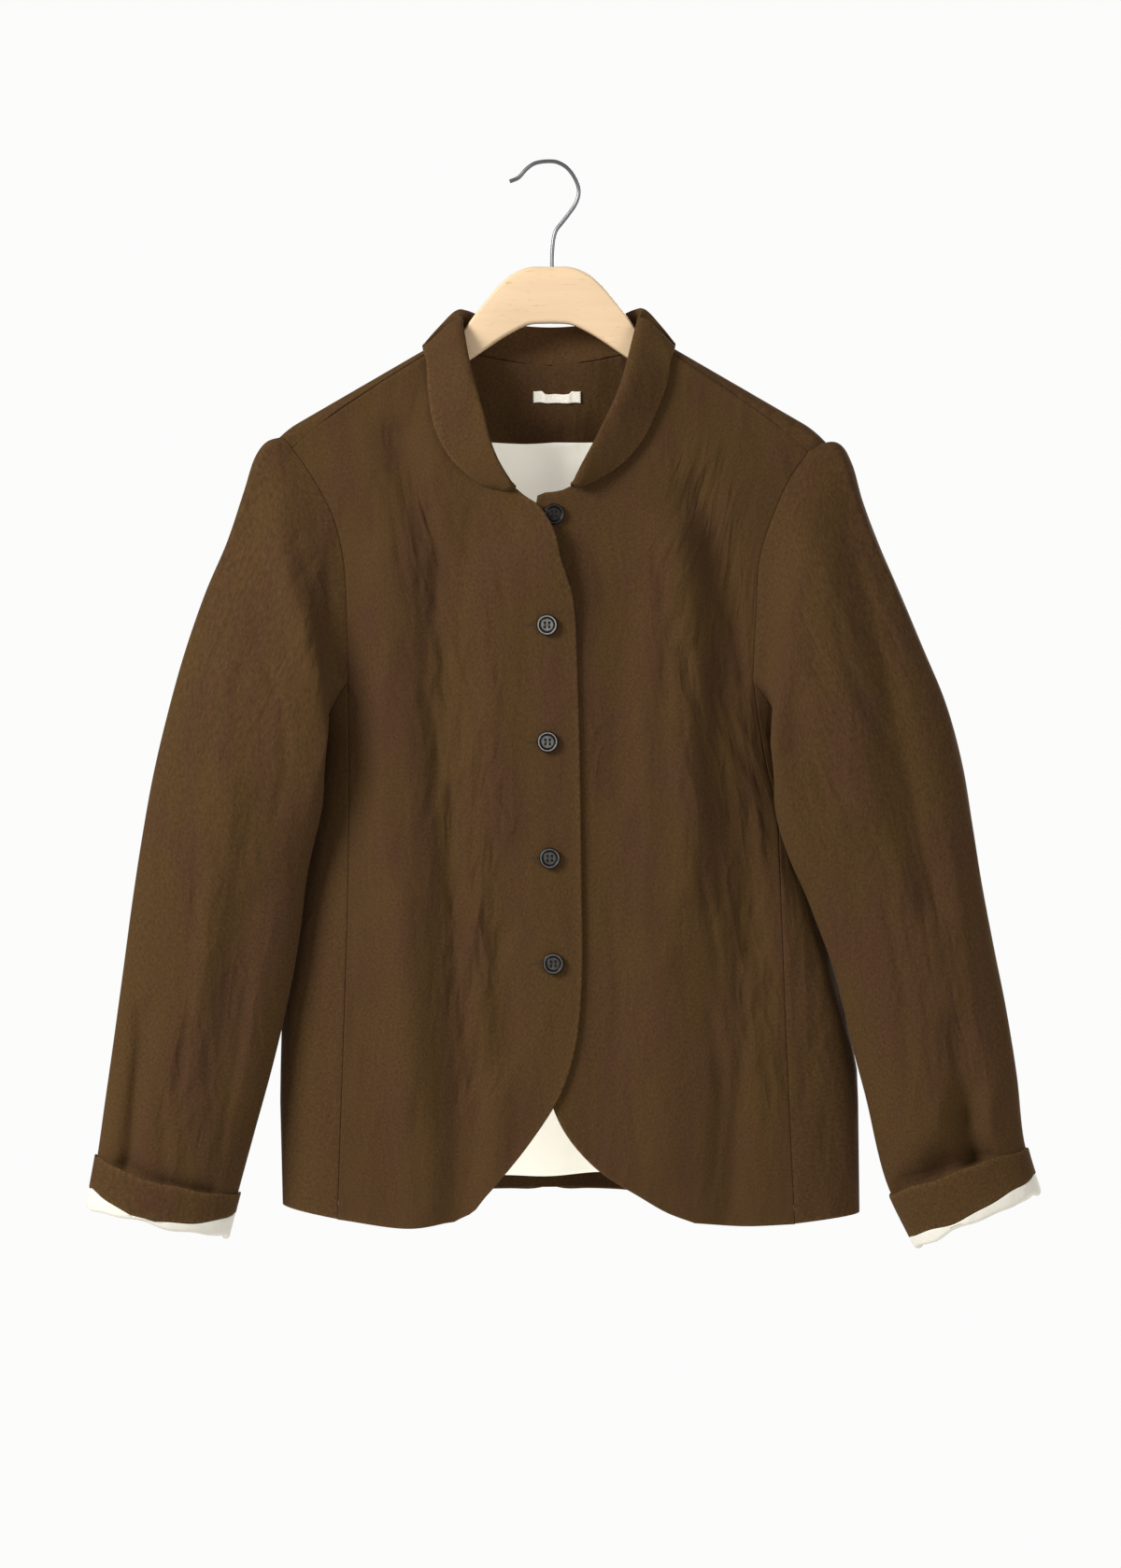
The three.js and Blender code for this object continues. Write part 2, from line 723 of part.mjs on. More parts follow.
// One of the rows that cross the shoulders along the fold, and run close below the neck seam
function wrapRow(top, number, left, right) {
  const last = BACK_COLUMNS - SHOULDER_COLUMNS;
  return top.map((start, j) => {
    const out = Math.max(SHOULDER_COLUMNS - j, j - last);
    if (out >= 0) {
      const neckEnd = top[j <= SHOULDER_COLUMNS ? SHOULDER_COLUMNS : last];
      const armEnd = j <= SHOULDER_COLUMNS ? left : right;
      const z = number === 1 ? start.z / 2 : armEnd.z;
      return neckEnd.clone().lerp(armEnd, out / SHOULDER_COLUMNS).setZ(z);
    }
    const below = Math.min(WRAP_REACH, -out * WRAP_STEP);
    const way = Math.max(WRAP_WAYS[WRAP_WAYS.length - 1], -start.z + below);
    return new THREE.Vector3(start.x, 0, lerp(start.z, -way, number / WRAP_ROWS));
  });
}

function backHem() {
  const last = BACK_COLUMNS - SHOULDER_COLUMNS;
  const left = sideSeamX(LEFT, 'back', HEM.left.back);
  const right = sideSeamX(RIGHT, 'back', HEM.right.back);
  const points = [];
  for (let j = 0; j <= BACK_COLUMNS; j += 1) {
    let x = lerp(BACK_HEM_SPREAD.left, BACK_HEM_SPREAD.right, (j - SHOULDER_COLUMNS) / NECK_COLUMNS);
    if (j < SHOULDER_COLUMNS) x = lerp(left, BACK_HEM_SPREAD.left, j / SHOULDER_COLUMNS);
    if (j > last) x = lerp(BACK_HEM_SPREAD.right, right, (j - last) / SHOULDER_COLUMNS);
    const bow = 1 - Math.abs(x / (x < 0 ? right : left)) ** 2;
    const corner = x < 0 ? HEM.right.back : HEM.left.back;
    points.push(new THREE.Vector3(x, 0, lerp(corner, BACK_HEM_CENTRE, bow)));
  }
  return points;
}

// A side panel wraps round the body's edge, from the back seam to the front one on the right
function sidePanel(side) {
  const hem = HEM[nameOf(side)];
  const half = SIDE_COLUMNS / 2;
  const rows = [];
  for (let i = 0; i <= SEAM_ROWS; i += 1) {
    const row = [];
    for (let j = -half; j <= half; j += 1) {
      const wall = j < 0 ? 'back' : 'front';
      const share = Math.abs(j) / half;
      const top = SIDE_SEAM[0].z - UNDERARM_DROP * (1 - share ** UNDERARM_CURVE);
      const bottom = lerp(hem.edge, hem[wall], share ** SIDE_HEM_CURVE);
      const z = lerp(top, bottom, seamShare(i));
      row.push(sidePoint(side, wall, share, z));
    }
    rows.push(side === RIGHT ? row : row.reverse());
  }
  return rows;
}

function sidePoint(side, wall, share, z) {
  const edge = bodyEdge(side, z);
  const seamTurn = Math.acos((Math.abs(sideSeamX(side, wall, z)) / edge) ** (SIDE_POWER / 2));
  const x = side * edge * Math.cos(seamTurn * share) ** (2 / SIDE_POWER);
  if (share === 0) return new THREE.Vector3(side * edge, 0, z);
  if (share === 1) {
    const seamX = sideSeamX(side, wall, z);
    return wall === 'front' ? frontPoint(seamX, z) : backPoint(seamX, z);
  }
  return wall === 'front' ? frontPoint(x, z) : backPoint(x, z);
}

// Walls of cloth. A sheet is a grid of points whose rows run down or up the piece and whose
// columns run to the right as seen from outside, so that its outer face looks outwards.

function sheet(name, finishName, thickness, rows, seams, closed = false) {
  return { name, finishName, thickness, rows, seams, closed, normals: gridNormals(rows, closed) };
}

function gridNormals(rows, closed) {
  const height = rows.length;
  const width = rows[0].length;
  return rows.map((row, i) => row.map((point, j) => {
    const above = rows[Math.max(0, i - 1)][j];
    const below = rows[Math.min(height - 1, i + 1)][j];
    const before = closed ? row[(j + width - 1) % width] : row[Math.max(0, j - 1)];
    const after = closed ? row[(j + 1) % width] : row[Math.min(width - 1, j + 1)];
    const down = below.clone().sub(above);
    const across = after.clone().sub(before);
    return down.cross(across).normalize();
  }));
}

// Every point on a seam edge, with the ways along the seam and into the piece
function seamPoints(piece) {
  const { rows, seams, closed } = piece;
  const lastRow = rows.length - 1;
  const lastColumn = rows[0].length - 1;
  const width = rows[0].length;
  const found = [];
  const add = (i, j, along, inner) => {
    found.push({ piece, i, j, along, inner: inner.clone().sub(rows[i][j]) });
  };
  for (const edge of seams) {
    if (edge === 'top' || edge === 'bottom') {
      const i = edge === 'top' ? 0 : lastRow;
      for (let j = 0; j < width; j += 1) {
        const before = closed ? rows[i][(j + width - 1) % width] : rows[i][Math.max(0, j - 1)];
        const after = closed ? rows[i][(j + 1) % width] : rows[i][Math.min(lastColumn, j + 1)];
        add(i, j, after.clone().sub(before), rows[edge === 'top' ? 1 : lastRow - 1][j]);
      }
    } else {
      const j = edge.startsWith('first') ? 0 : lastColumn;
      const inner = edge.startsWith('first') ? 1 : lastColumn - 1;
      const end = edge.endsWith('Neck') ? NECKLINE_ROWS : lastRow;
      for (let i = 0; i <= end; i += 1) {
        const along = rows[Math.min(end, i + 1)][j].clone().sub(rows[Math.max(0, i - 1)][j]);
        add(i, j, along, rows[i][inner]);
      }
    }
  }
  return found;
}

// Where pieces meet, their edges share one direction across the cloth and part by the seam gap
function joinSeams(pieces) {
  const points = pieces.flatMap(seamPoints);
  const shared = points.map((at) => {
    const place = at.piece.rows[at.i][at.j];
    const seen = new Set();
    const mean = new THREE.Vector3();
    for (const other of points) {
      const key = `${other.piece.name} ${other.i} ${other.j}`;
      const near = other.piece.rows[other.i][other.j].distanceTo(place) < SEAM_NEAR;
      if (near && !seen.has(key)) {
        seen.add(key);
        mean.add(other.piece.normals[other.i][other.j]);
      }
    }
    return mean.normalize();
  });
  const moves = points.map((at, index) => {
    const normal = shared[index];
    const along = at.along.clone().addScaledVector(normal, -at.along.dot(normal)).normalize();
    const away = at.inner.clone().addScaledVector(normal, -at.inner.dot(normal));
    away.addScaledVector(along, -away.dot(along));
    return away.setLength(SEAM_GAP / 2);
  });
  points.forEach((at, index) => {
    at.piece.normals[at.i][at.j] = shared[index];
  });
  points.forEach((at, index) => {
    at.piece.rows[at.i][at.j] = at.piece.rows[at.i][at.j].clone().add(moves[index]);
  });
}

// Shortens a piece at its last row
function liftEnd(piece, distance) {
  const last = piece.rows.length - 1;
  piece.rows[last] = piece.rows[last].map((point, j) => {
    const away = piece.rows[last - 1][j].clone().sub(point).setLength(distance);
    return point.clone().add(away);
  });
}

// Keeps a front's finer top row on the straight stretches of the back's edge
function straightenTop(piece) {
  const each = FRONT_COLUMNS / SHOULDER_COLUMNS;
  for (const row of [piece.rows[0], piece.normals[0]]) {
    for (let j = 0; j < FRONT_COLUMNS; j += 1) {
      const from = j - j % each;
      row[j] = row[from].clone().lerp(row[from + each], (j - from) / each);
    }
  }
}

function moved(rows, normals, distance) {
  return rows.map((row, i) => row.map((point, j) => {
    return point.clone().addScaledVector(normals[i][j], distance);
  }));
}

function wallGeometry({ rows, normals, thickness, closed }) {
  const outer = moved(rows, normals, thickness / 2);
  const inner = moved(rows, normals, -thickness / 2);
  const height = rows.length;
  const width = rows[0].length;
  const positions = [];
  for (const point of [...outer.flat(), ...inner.flat()]) positions.push(point.x, point.y, point.z);
  const out = (i, j) => i * width + (j % width);
  const inn = (i, j) => height * width + out(i, j);
  const faces = [];
  const quad = (a, b, c, d) => faces.push(a, b, c, a, c, d);
  const cells = closed ? width : width - 1;
  for (let i = 0; i < height - 1; i += 1) {
    for (let j = 0; j < cells; j += 1) {
      quad(out(i, j), out(i + 1, j), out(i + 1, j + 1), out(i, j + 1));
      quad(inn(i, j), inn(i, j + 1), inn(i + 1, j + 1), inn(i + 1, j));
    }
  }
  for (let j = 0; j < cells; j += 1) {
    quad(out(0, j), out(0, j + 1), inn(0, j + 1), inn(0, j));
    const i = height - 1;
    quad(out(i, j + 1), out(i, j), inn(i, j), inn(i, j + 1));
  }
  if (!closed) {
    for (let i = 0; i < height - 1; i += 1) {
      const j = width - 1;
      quad(out(i + 1, 0), out(i, 0), inn(i, 0), inn(i + 1, 0));
      quad(out(i, j), out(i + 1, j), inn(i + 1, j), inn(i, j));
    }
  }
  return indexed(positions, faces);
}

function indexed(positions, faces) {
  const geometry = new THREE.BufferGeometry();
  geometry.setAttribute('position', new THREE.Float32BufferAttribute(positions, 3));
  geometry.setIndex(faces);
  return geometry;
}

// Sleeves

// The armhole's points in order round it, from the shoulder seam down the front, under the arm
// and up the back, which is rightwards as seen from outside the right sleeve
function armholeLoop(side, front, panel, back) {
  const column = side === RIGHT ? 0 : FRONT_COLUMNS;
  const backColumn = side === RIGHT ? BACK_COLUMNS : 0;
  const loop = [];
  for (let i = 0; i <= ARMHOLE_ROWS; i += 1) loop.push(front[i][column].clone());
  const under = side === RIGHT ? [...panel[0]].reverse() : panel[0];
  for (let j = 1; j <= SIDE_COLUMNS; j += 1) loop.push(under[j].clone());
  for (let i = BACK_ARMHOLE_ROWS - 1; i >= 1; i -= 1) loop.push(back[i][backColumn].clone());
  return loop;
}

// The turn of each loop point round the sleeve: 0 at the shoulder fold, pi under the arm
function loopTurns(loop) {
  const under = ARMHOLE_ROWS + SIDE_COLUMNS / 2;
  const fold = loop.length - 2;
  const lengths = running([...loop, loop[0]]);
  const total = lengths[loop.length];
  const frontWay = total - lengths[fold] + lengths[under];
  const backWay = lengths[fold] - lengths[under];
  return loop.map((point, i) => {
    if (i >= fold) return Math.PI * (lengths[i] - lengths[fold]) / frontWay;
    if (i <= under) return Math.PI * (lengths[i] + total - lengths[fold]) / frontWay;
    return Math.PI * (1 + (lengths[i] - lengths[under]) / backWay);
  });
}

function sectionPoint(section, side, turn) {
  const inner = (1 - Math.cos(turn)) / 2;
  const bulge = Math.sin(turn) * (Math.sin(turn) > 0 ? section.front : section.back);
  return new THREE.Vector3(
    side * lerp(section.outerX, section.innerX, inner),
    lerp(section.outerY, section.innerY, inner) - bulge,
    lerp(section.outerZ, section.innerZ, inner) - section.dip * Math.sin(turn),
  );
}

// Keeps a sleeve's point off the body: its front half passes before the body, its back half beside
function besideBody(point, side, turn) {
  const near = smoothstep((SLEEVE_REST_Z - point.z) / SLEEVE_REST_FADE);
  if (near === 0) return;
  const edge = bodyEdge(side, point.z) + SLEEVE_CLEAR * near;
  const out = Math.abs(point.x);
  if (Math.sin(turn) > -0.01) {
    if (out >= edge) return;
    const rest = -wallDepth(point.x, point.z, true) - SLEEVE_CLEAR * near;
    point.y = Math.min(point.y, rest);
    return;
  }
  const front = point.y < 0;
  const depth = wallDepth(0, point.z, front) + SLEEVE_CLEAR * near;
  const share = Math.min(1, Math.abs(point.y) / depth);
  const beside = edge * (1 - share ** SIDE_POWER) ** (1 / SIDE_POWER);
  point.x = side * Math.max(out, beside);
}

function sleeveRings(side, loop) {
  const turns = loopTurns(loop);
  const fold = loop[loop.length - 2];
  const under = loop[ARMHOLE_ROWS + SIDE_COLUMNS / 2];
  const start = {
    outerX: Math.abs(fold.x), outerZ: fold.z, outerY: fold.y,
    innerX: Math.abs(under.x), innerZ: under.z, innerY: under.y,
    front: ARMHOLE_BULGE, back: ARMHOLE_BULGE, dip: 0,
  };
  const own = loop.map((point, i) => point.clone().sub(sectionPoint(start, side, turns[i])));
  const rings = [loop];
  for (const section of side === RIGHT ? SLEEVE_RIGHT : SLEEVE_LEFT) {
    rings.push(turns.map((turn, i) => {
      const point = sectionPoint(section, side, turn);
      point.addScaledVector(own[i], section.keep);
      if (Math.sin(turn) > 0) point.y += foldDepth(SLEEVE_FOLDS, point.x, point.z) * Math.sin(turn);
      besideBody(point, side, turn);
      return point;
    }));
  }
  return side === RIGHT ? rings : rings.map((ring) => [ring[0], ...ring.slice(1).reverse()]);
}

// A sleeve's surface from its turned end upwards, one row for each list of distances
function sleeveEnd(rings, distances) {
  const columns = rings[0].map((point, j) => rings.map((ring) => ring[j]).reverse());
  return distances.map((row) => columns.map((column, j) => {
    const lengths = running(column);
    let i = 1;
    while (i < column.length - 1 && lengths[i] < row[j]) i += 1;
    const t = (row[j] - lengths[i - 1]) / (lengths[i] - lengths[i - 1]);
    return column[i - 1].clone().lerp(column[i], t);
  }));
}

function cuffPieces(side, rings) {
  const name = nameOf(side);
  const count = rings[0].length;
  const base = sleeveEnd(rings, [CUFF_LINING_UP, CUFF_LINING_UP / 2, 0].map((d) => Array(count).fill(d)));
  const normals = gridNormals(base, true);
  const ring = base[base.length - 1];
  const normal = normals[normals.length - 1];
  const centre = ring.reduce((sum, point) => sum.add(point), new THREE.Vector3()).divideScalar(count);
  const across = ring.map((point) => side * (point.x - centre.x) / CUFF_HALF_WIDTH);
  const reveal = across.map((share) => lerp(CUFF_REVEAL_FRONT, CUFF_REVEAL_SIDE, share ** 2));
  const { inner, middle, outer } = CUFF_BAND[name];
  const height = across.map((share) => {
    const tilt = (outer - inner) / 2 * share;
    return middle + tilt + ((outer + inner) / 2 - middle) * share ** 2;
  });
  const outside = (distances) => {
    const grid = sleeveEnd(rings, distances);
    return moved(grid, grid.map(() => normal), CUFF_LAYER);
  };
  const band = outside([
    reveal.map((r, j) => r + height[j]),
    reveal.map((r, j) => r + height[j] / 2),
    reveal,
  ]);
  const down = ring.map((point, j) => point.clone().sub(base[1][j]).normalize());
  const turned = (angle) => ring.map((point, j) => {
    const place = point.clone().addScaledVector(normal[j], CUFF_LAYER * Math.cos(angle));
    return place.addScaledVector(down[j], CUFF_LAYER * Math.sin(angle));
  });
  const inside = moved(base.slice(0, 2).reverse(), [normal, normal], -CUFF_LAYER);
  const lining = [
    ...outside([reveal.map((r) => r - SEAM_GAP)]),
    turned(0), turned(Math.PI / 4), turned(Math.PI / 2), turned(Math.PI * 3 / 4),
    turned(Math.PI), ...inside,
  ];
  return [
    sheet(`cuff_${name}`, 'shell', CLOTH, band, [], true),
    sheet(`cuff_lining_${name}`, 'cream', LINING, lining, [], true),
  ];
}

function sleevePieces(side, front, panel, back) {
  const name = nameOf(side);
  const rings = sleeveRings(side, armholeLoop(side, front, panel, back));
  const count = rings[0].length;
  const lower = [CUFF_LINING_UP, CUFF_LINING_UP / 2, SHELL_END];
  const end = sleeveEnd(rings, lower.map((distance) => Array(count).fill(distance)));
  const shell = [...rings.slice(0, -2), ...end];
  return {
    sleeve: sheet(`sleeve_${name}`, 'shell', CLOTH, shell, ['top'], true),
    cuff: cuffPieces(side, rings),
  };
}

// Collar

function necklinePoints(left, back, right) {
  const points = [];
  for (let i = NECKLINE_ROWS; i >= 0; i -= 1) points.push(left[i][0]);
  for (let j = 1; j < NECK_COLUMNS; j += 1) points.push(back[0][SHOULDER_COLUMNS + j]);
  for (let i = 0; i <= NECKLINE_ROWS; i += 1) points.push(right[i][FRONT_COLUMNS]);
  return points;
}

// The edge of the fall rests just clear of the body below it
function fallEdge(station, front) {
  const way = wayOf(ridgeZ(station.edgeX) - station.edgeZ) * (front ? -1 : 1);
  const place = bodyPoint(station.edgeX, way);
  const across = bodyPoint(station.edgeX + 1, way).sub(bodyPoint(station.edgeX - 1, way));
  const down = bodyPoint(station.edgeX, way + 1).sub(bodyPoint(station.edgeX, way - 1));
  return place.addScaledVector(across.cross(down).normalize(), CLOTH + COLLAR_CLEAR);
}

function collarRows(neckline) {
  const stations = [...COLLAR_LEFT, ...[...COLLAR_RIGHT].reverse().slice(1)];
  const columns = neckline.map((seam, j) => {
    const station = stations[j];
    const roll = new THREE.Vector3(station.rollX, station.rollY, station.rollZ);
    const nearEnd = Math.min(j, neckline.length - 1 - j);
    const edge = fallEdge(station, nearEnd <= NECKLINE_ROWS);
    return collarColumn(seam, roll, edge);
  });
  return columns[0].map((point, i) => columns.map((column) => column[i]));
}

// From the edge of the fall up to the roll, round it and down the stand to the seam
function collarColumn(seam, roll, edge) {
  const up = roll.clone().sub(seam).normalize();
  const out = edge.clone().sub(seam);
  out.addScaledVector(up, -out.dot(up)).normalize();
  const half = Math.min(COLLAR_FOLD, roll.distanceTo(seam) * COLLAR_FOLD_SHARE);
  const neck = roll.clone().addScaledVector(up, -half);
  const crest = roll.clone().addScaledVector(out, half);
  const shoulder = crest.clone().addScaledVector(out, half).addScaledVector(up, -half);
  return [
    edge,
    edge.clone().lerp(shoulder, 0.5).addScaledVector(out, half * COLLAR_ROLL),
    shoulder,
    crest,
    neck,
    neck.clone().lerp(seam, 0.5),
    seam,
  ];
}

// Pieces on the inside of the back, made from the back panel's own points

function insideBack(back, name, finishName, thickness, rowRange, columnRange) {
  const rows = back.rows.slice(rowRange[0], rowRange[1] + 1)
    .map((row) => row.slice(columnRange[0], columnRange[1] + 1));
  const normals = back.normals.slice(rowRange[0], rowRange[1] + 1)
    .map((row) => row.slice(columnRange[0], columnRange[1] + 1));
  const distance = CLOTH / 2 + LAYER_GAP + thickness / 2;
  const inside = moved(rows, normals, -distance);
  return { name, finishName, thickness, rows: inside, normals, closed: false };
}

// Parts the end row of an inner piece from the one it meets
function trimRow(piece, end) {
  const row = end === 'top' ? 0 : piece.rows.length - 1;
  const next = end === 'top' ? 1 : row - 1;
  piece.rows[row] = piece.rows[row].map((point, j) => {
    const away = piece.rows[next][j].clone().sub(point).setLength(SEAM_GAP / 2);
    return point.clone().add(away);
  });
  return piece;
}

function innerPieces(back) {
  const first = SHOULDER_COLUMNS;
  const last = BACK_COLUMNS - SHOULDER_COLUMNS;
  const facingColumns = [first + FACING_MARGIN, last - FACING_MARGIN];
  const hemRow = BACK_ROWS - 1;
  const facing = insideBack(back, 'back_neck_facing', 'shell', LINING, [0, FACING_ROW], facingColumns);
  const lining = insideBack(back, 'back_lining', 'cream', LINING, [FACING_ROW, hemRow], [first, last]);
  const hem = insideBack(back, 'back_hem_facing', 'shell', LINING, [hemRow, BACK_ROWS], [first, last]);
  trimRow(facing, 'bottom');
  trimRow(lining, 'top');
  trimRow(lining, 'bottom');
  trimRow(hem, 'top');
  return [facing, lining, hem, labelPiece()];
}

function labelPiece() {
  const { x0, x1, z0, z1, columns } = NECK_LABEL;
  const inward = CLOTH / 2 + LAYER_GAP + LINING + LAYER_GAP + LABEL / 2;
  const rows = [z0, z1].map((z) => {
    const row = [];
    for (let j = 0; j <= columns; j += 1) {
      row.push(backPoint(lerp(x1, x0, j / columns), z));
    }
    return row;
  });
  const normals = gridNormals(rows, false);
  return {
    name: 'neck_label', finishName: 'cream', thickness: LABEL, closed: false, normals,
    rows: moved(rows, normals, -inward),
  };
}

// Hard pieces

function toManifold(geometry) {
  const bare = geometry.clone();
  bare.deleteAttribute('normal');
  bare.deleteAttribute('uv');
  const merged = BufferGeometryUtils.mergeVertices(bare, 1e-4);
  return new wasm.Manifold(new wasm.Mesh({
    numProp: 3,
    vertProperties: new Float32Array(merged.attributes.position.array),
    triVerts: new Uint32Array(merged.index.array),
  }));
}

function fromManifold(solid) {
  const mesh = solid.getMesh();
  return indexed(Array.from(mesh.vertProperties), Array.from(mesh.triVerts));
}

function buttonGeometry() {
  const { radius, thickness, rim, dish, dishDepth, holeRadius, holePitch } = BUTTON;
  const profile = [
    [0, 0],
    [radius - rim, 0],
    [radius, thickness * 0.5],
    [radius - rim * 0.5, thickness],
    [radius - rim * 1.6, thickness],
    [dish, thickness - dishDepth],
    [0, thickness - dishDepth],
  ];
  const points = profile.map(([r, y]) => new THREE.Vector2(r, y));
  let solid = toManifold(new THREE.LatheGeometry(points, BUTTON_SIDES));
  for (const [sx, sz] of [[1, 1], [1, -1], [-1, 1], [-1, -1]]) {
    const depth = 3 * thickness;
    const hole = new THREE.CylinderGeometry(holeRadius, holeRadius, depth, BUTTON_HOLE_SIDES);
    hole.translate(sx * holePitch, 0, sz * holePitch);
    solid = solid.subtract(toManifold(hole));
  }
  return fromManifold(solid);
}

// A button lies flat on the cloth: its axis, +Y in the profile, follows the cloth's own direction
function buttonMesh(number, { x, z, front }) {
  const side = front === 'right' ? RIGHT : LEFT;
  const step = BUTTON.radius;
  const centre = onFront(x, z, side);
  const across = onFront(x + step, z, side).sub(onFront(x - step, z, side));
  const down = onFront(x, z - step, side).sub(onFront(x, z + step, side));
  const outward = down.cross(across).normalize();
  let lift = 0;
  for (let k = 0; k < RIM_POINTS; k += 1) {
    const turn = k * 2 * Math.PI / RIM_POINTS;
    const rim = onFront(x + step * Math.cos(turn), z + step * Math.sin(turn), side).sub(centre);
    lift = Math.max(lift, rim.dot(outward));
  }
  const mesh = new THREE.Mesh(buttonGeometry(), FINISHES.horn());
  mesh.name = `button_${number}`;
  mesh.quaternion.setFromUnitVectors(new THREE.Vector3(0, 1, 0), outward);
  mesh.position.copy(centre.addScaledVector(outward, CLOTH / 2 + LAYER_GAP + lift));
  return mesh;
}

// The yoke is lofted through upright sections with bevelled edges
function yokeGeometry() {
  const half = YOKE.slice(1).map((row) => ({ ...row, x: -row.x })).reverse();
  const stations = [...half, ...YOKE];
  const deep = YOKE_THICKNESS / 2;
  const positions = [];
  const faces = [];
  const count = YOKE_SIDES;
  stations.forEach(({ x, top: crest, bottom }) => {
    const endDrop = YOKE_END_DROP * Math.max(0, Math.abs(x) - YOKE_END_START) ** 2;
    const top = Math.abs(x) > NECK_FOLD_X ? ridgeZ(x) - YOKE_SEAT - endDrop : crest;
    const bevel = Math.min(YOKE_EDGE, (top - bottom) / 3);
    const section = [
      [-deep + bevel, top], [deep - bevel, top], [deep, top - bevel], [deep, bottom + bevel],
      [deep - bevel, bottom], [-deep + bevel, bottom], [-deep, bottom + bevel], [-deep, top - bevel],
    ];
    for (const [y, z] of section) positions.push(x, y, z);
  });
  for (let i = 0; i < stations.length - 1; i += 1) {
    for (let k = 0; k < count; k += 1) {
      const a = i * count + k;
      const b = i * count + (k + 1) % count;
      faces.push(a, a + count, b + count, a, b + count, b);
    }
  }
  const end = (stations.length - 1) * count;
  for (let k = 1; k < count - 1; k += 1) {
    faces.push(0, k, k + 1);
    faces.push(end, end + k + 1, end + k);
  }
  const bore = new THREE.CylinderGeometry(
    HOOK_RADIUS + HOOK_BORE_GAP, HOOK_RADIUS + HOOK_BORE_GAP, 2 * HOOK_DEPTH, BORE_SIDES,
  );
  bore.rotateX(Math.PI / 2);
  const hookEnd = HOOK[HOOK.length - 1];
  bore.translate(hookEnd.x, 0, hookEnd.z);
  return fromManifold(toManifold(indexed(positions, faces)).subtract(toManifold(bore)));
}

function hookGeometry() {
  const points = HOOK.map(({ x, z }) => new THREE.Vector3(x, 0, z));
  const last = points[points.length - 1];
  points.push(new THREE.Vector3(last.x, 0, last.z - HOOK_DEPTH + 2 * HOOK_BORE_GAP));
  const path = new THREE.CatmullRomCurve3(points, false, 'centripetal');
  const section = new THREE.Shape();
  section.absarc(0, 0, HOOK_RADIUS, 0, 2 * Math.PI);
  return new THREE.ExtrudeGeometry(section, {
    steps: HOOK_STEPS, curveSegments: HOOK_SIDES, bevelEnabled: false, extrudePath: path,
  });
}

// Assembly

function clothMesh(piece) {
  const mesh = new THREE.Mesh(wallGeometry(piece), FINISHES[piece.finishName]());
  mesh.name = piece.name;
  return mesh;
}

function hardMesh(name, geometry, material) {
  const mesh = new THREE.Mesh(geometry, material);
  mesh.name = name;
  return mesh;
}

function buildJacket() {
  const right = frontPanel(RIGHT);
  const left = frontPanel(LEFT);
  const back = backPanel();
  const sideRight = sidePanel(RIGHT);
  const sideLeft = sidePanel(LEFT);
  const sleeveRight = sleevePieces(RIGHT, right, sideRight, back);
  const sleeveLeft = sleevePieces(LEFT, left, sideLeft, back);
  const collar = collarRows(necklinePoints(left, back, right));
  const backSheet = sheet('back', 'shell', CLOTH, back, ['top', 'first', 'last']);
  const sewn = [
    sheet('front_right', 'shell', CLOTH, right, ['top', 'first', 'lastNeck']),
    sheet('front_left', 'shell', CLOTH, left, ['top', 'last', 'firstNeck']),
    backSheet,
    sheet('side_panel_right', 'shell', CLOTH, sideRight, ['top', 'first', 'last']),
    sheet('side_panel_left', 'shell', CLOTH, sideLeft, ['top', 'first', 'last']),
    sleeveRight.sleeve,
    sleeveLeft.sleeve,
    sheet('collar', 'collar', CLOTH, collar, ['bottom']),
  ];
  joinSeams(sewn);
  straightenTop(sewn[0]);
  straightenTop(sewn[1]);
  liftEnd(sewn[sewn.length - 1], COLLAR_LIFT);
  const pieces = [...sewn, ...sleeveRight.cuff, ...sleeveLeft.cuff, ...innerPieces(backSheet)];
  const jacket = new THREE.Group();
  for (const piece of pieces) jacket.add(clothMesh(piece));
  BUTTONS.forEach((button, i) => jacket.add(buttonMesh(i + 1, button)));
  return jacket;
}

function buildHanger() {
  const hanger = new THREE.Group();
  const yoke = yokeGeometry();
  hanger.add(hardMesh('hanger_wood', yoke, FINISHES.wood()));
  hanger.add(hardMesh('hanger_hook', hookGeometry(), FINISHES.steel()));
  return hanger;
}

const part = new THREE.Group();
part.add(buildHanger());
part.add(buildJacket());

export default part;
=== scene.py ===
"""Dresses a washed jacket that hangs, buttoned, on a flat wooden clothes hanger."""

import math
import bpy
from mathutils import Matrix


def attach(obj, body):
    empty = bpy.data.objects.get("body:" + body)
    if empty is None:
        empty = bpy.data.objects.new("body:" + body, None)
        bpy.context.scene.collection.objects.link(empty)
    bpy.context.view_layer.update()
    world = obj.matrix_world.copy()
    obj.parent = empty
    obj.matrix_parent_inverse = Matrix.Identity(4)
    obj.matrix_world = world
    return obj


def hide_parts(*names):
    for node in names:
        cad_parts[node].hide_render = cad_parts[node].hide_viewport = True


bl_info = {
    "name": "Hanging jacket",
    "version": (1, 0, 0),
    "blender": (4, 5, 0),
    "location": "3D View > Sidebar > Jacket",
    "description": "Makes a buttoned jacket on a clothes hanger, with its cloth, seams and stage",
    "category": "Add Mesh",
}

import bpy
import numpy as np

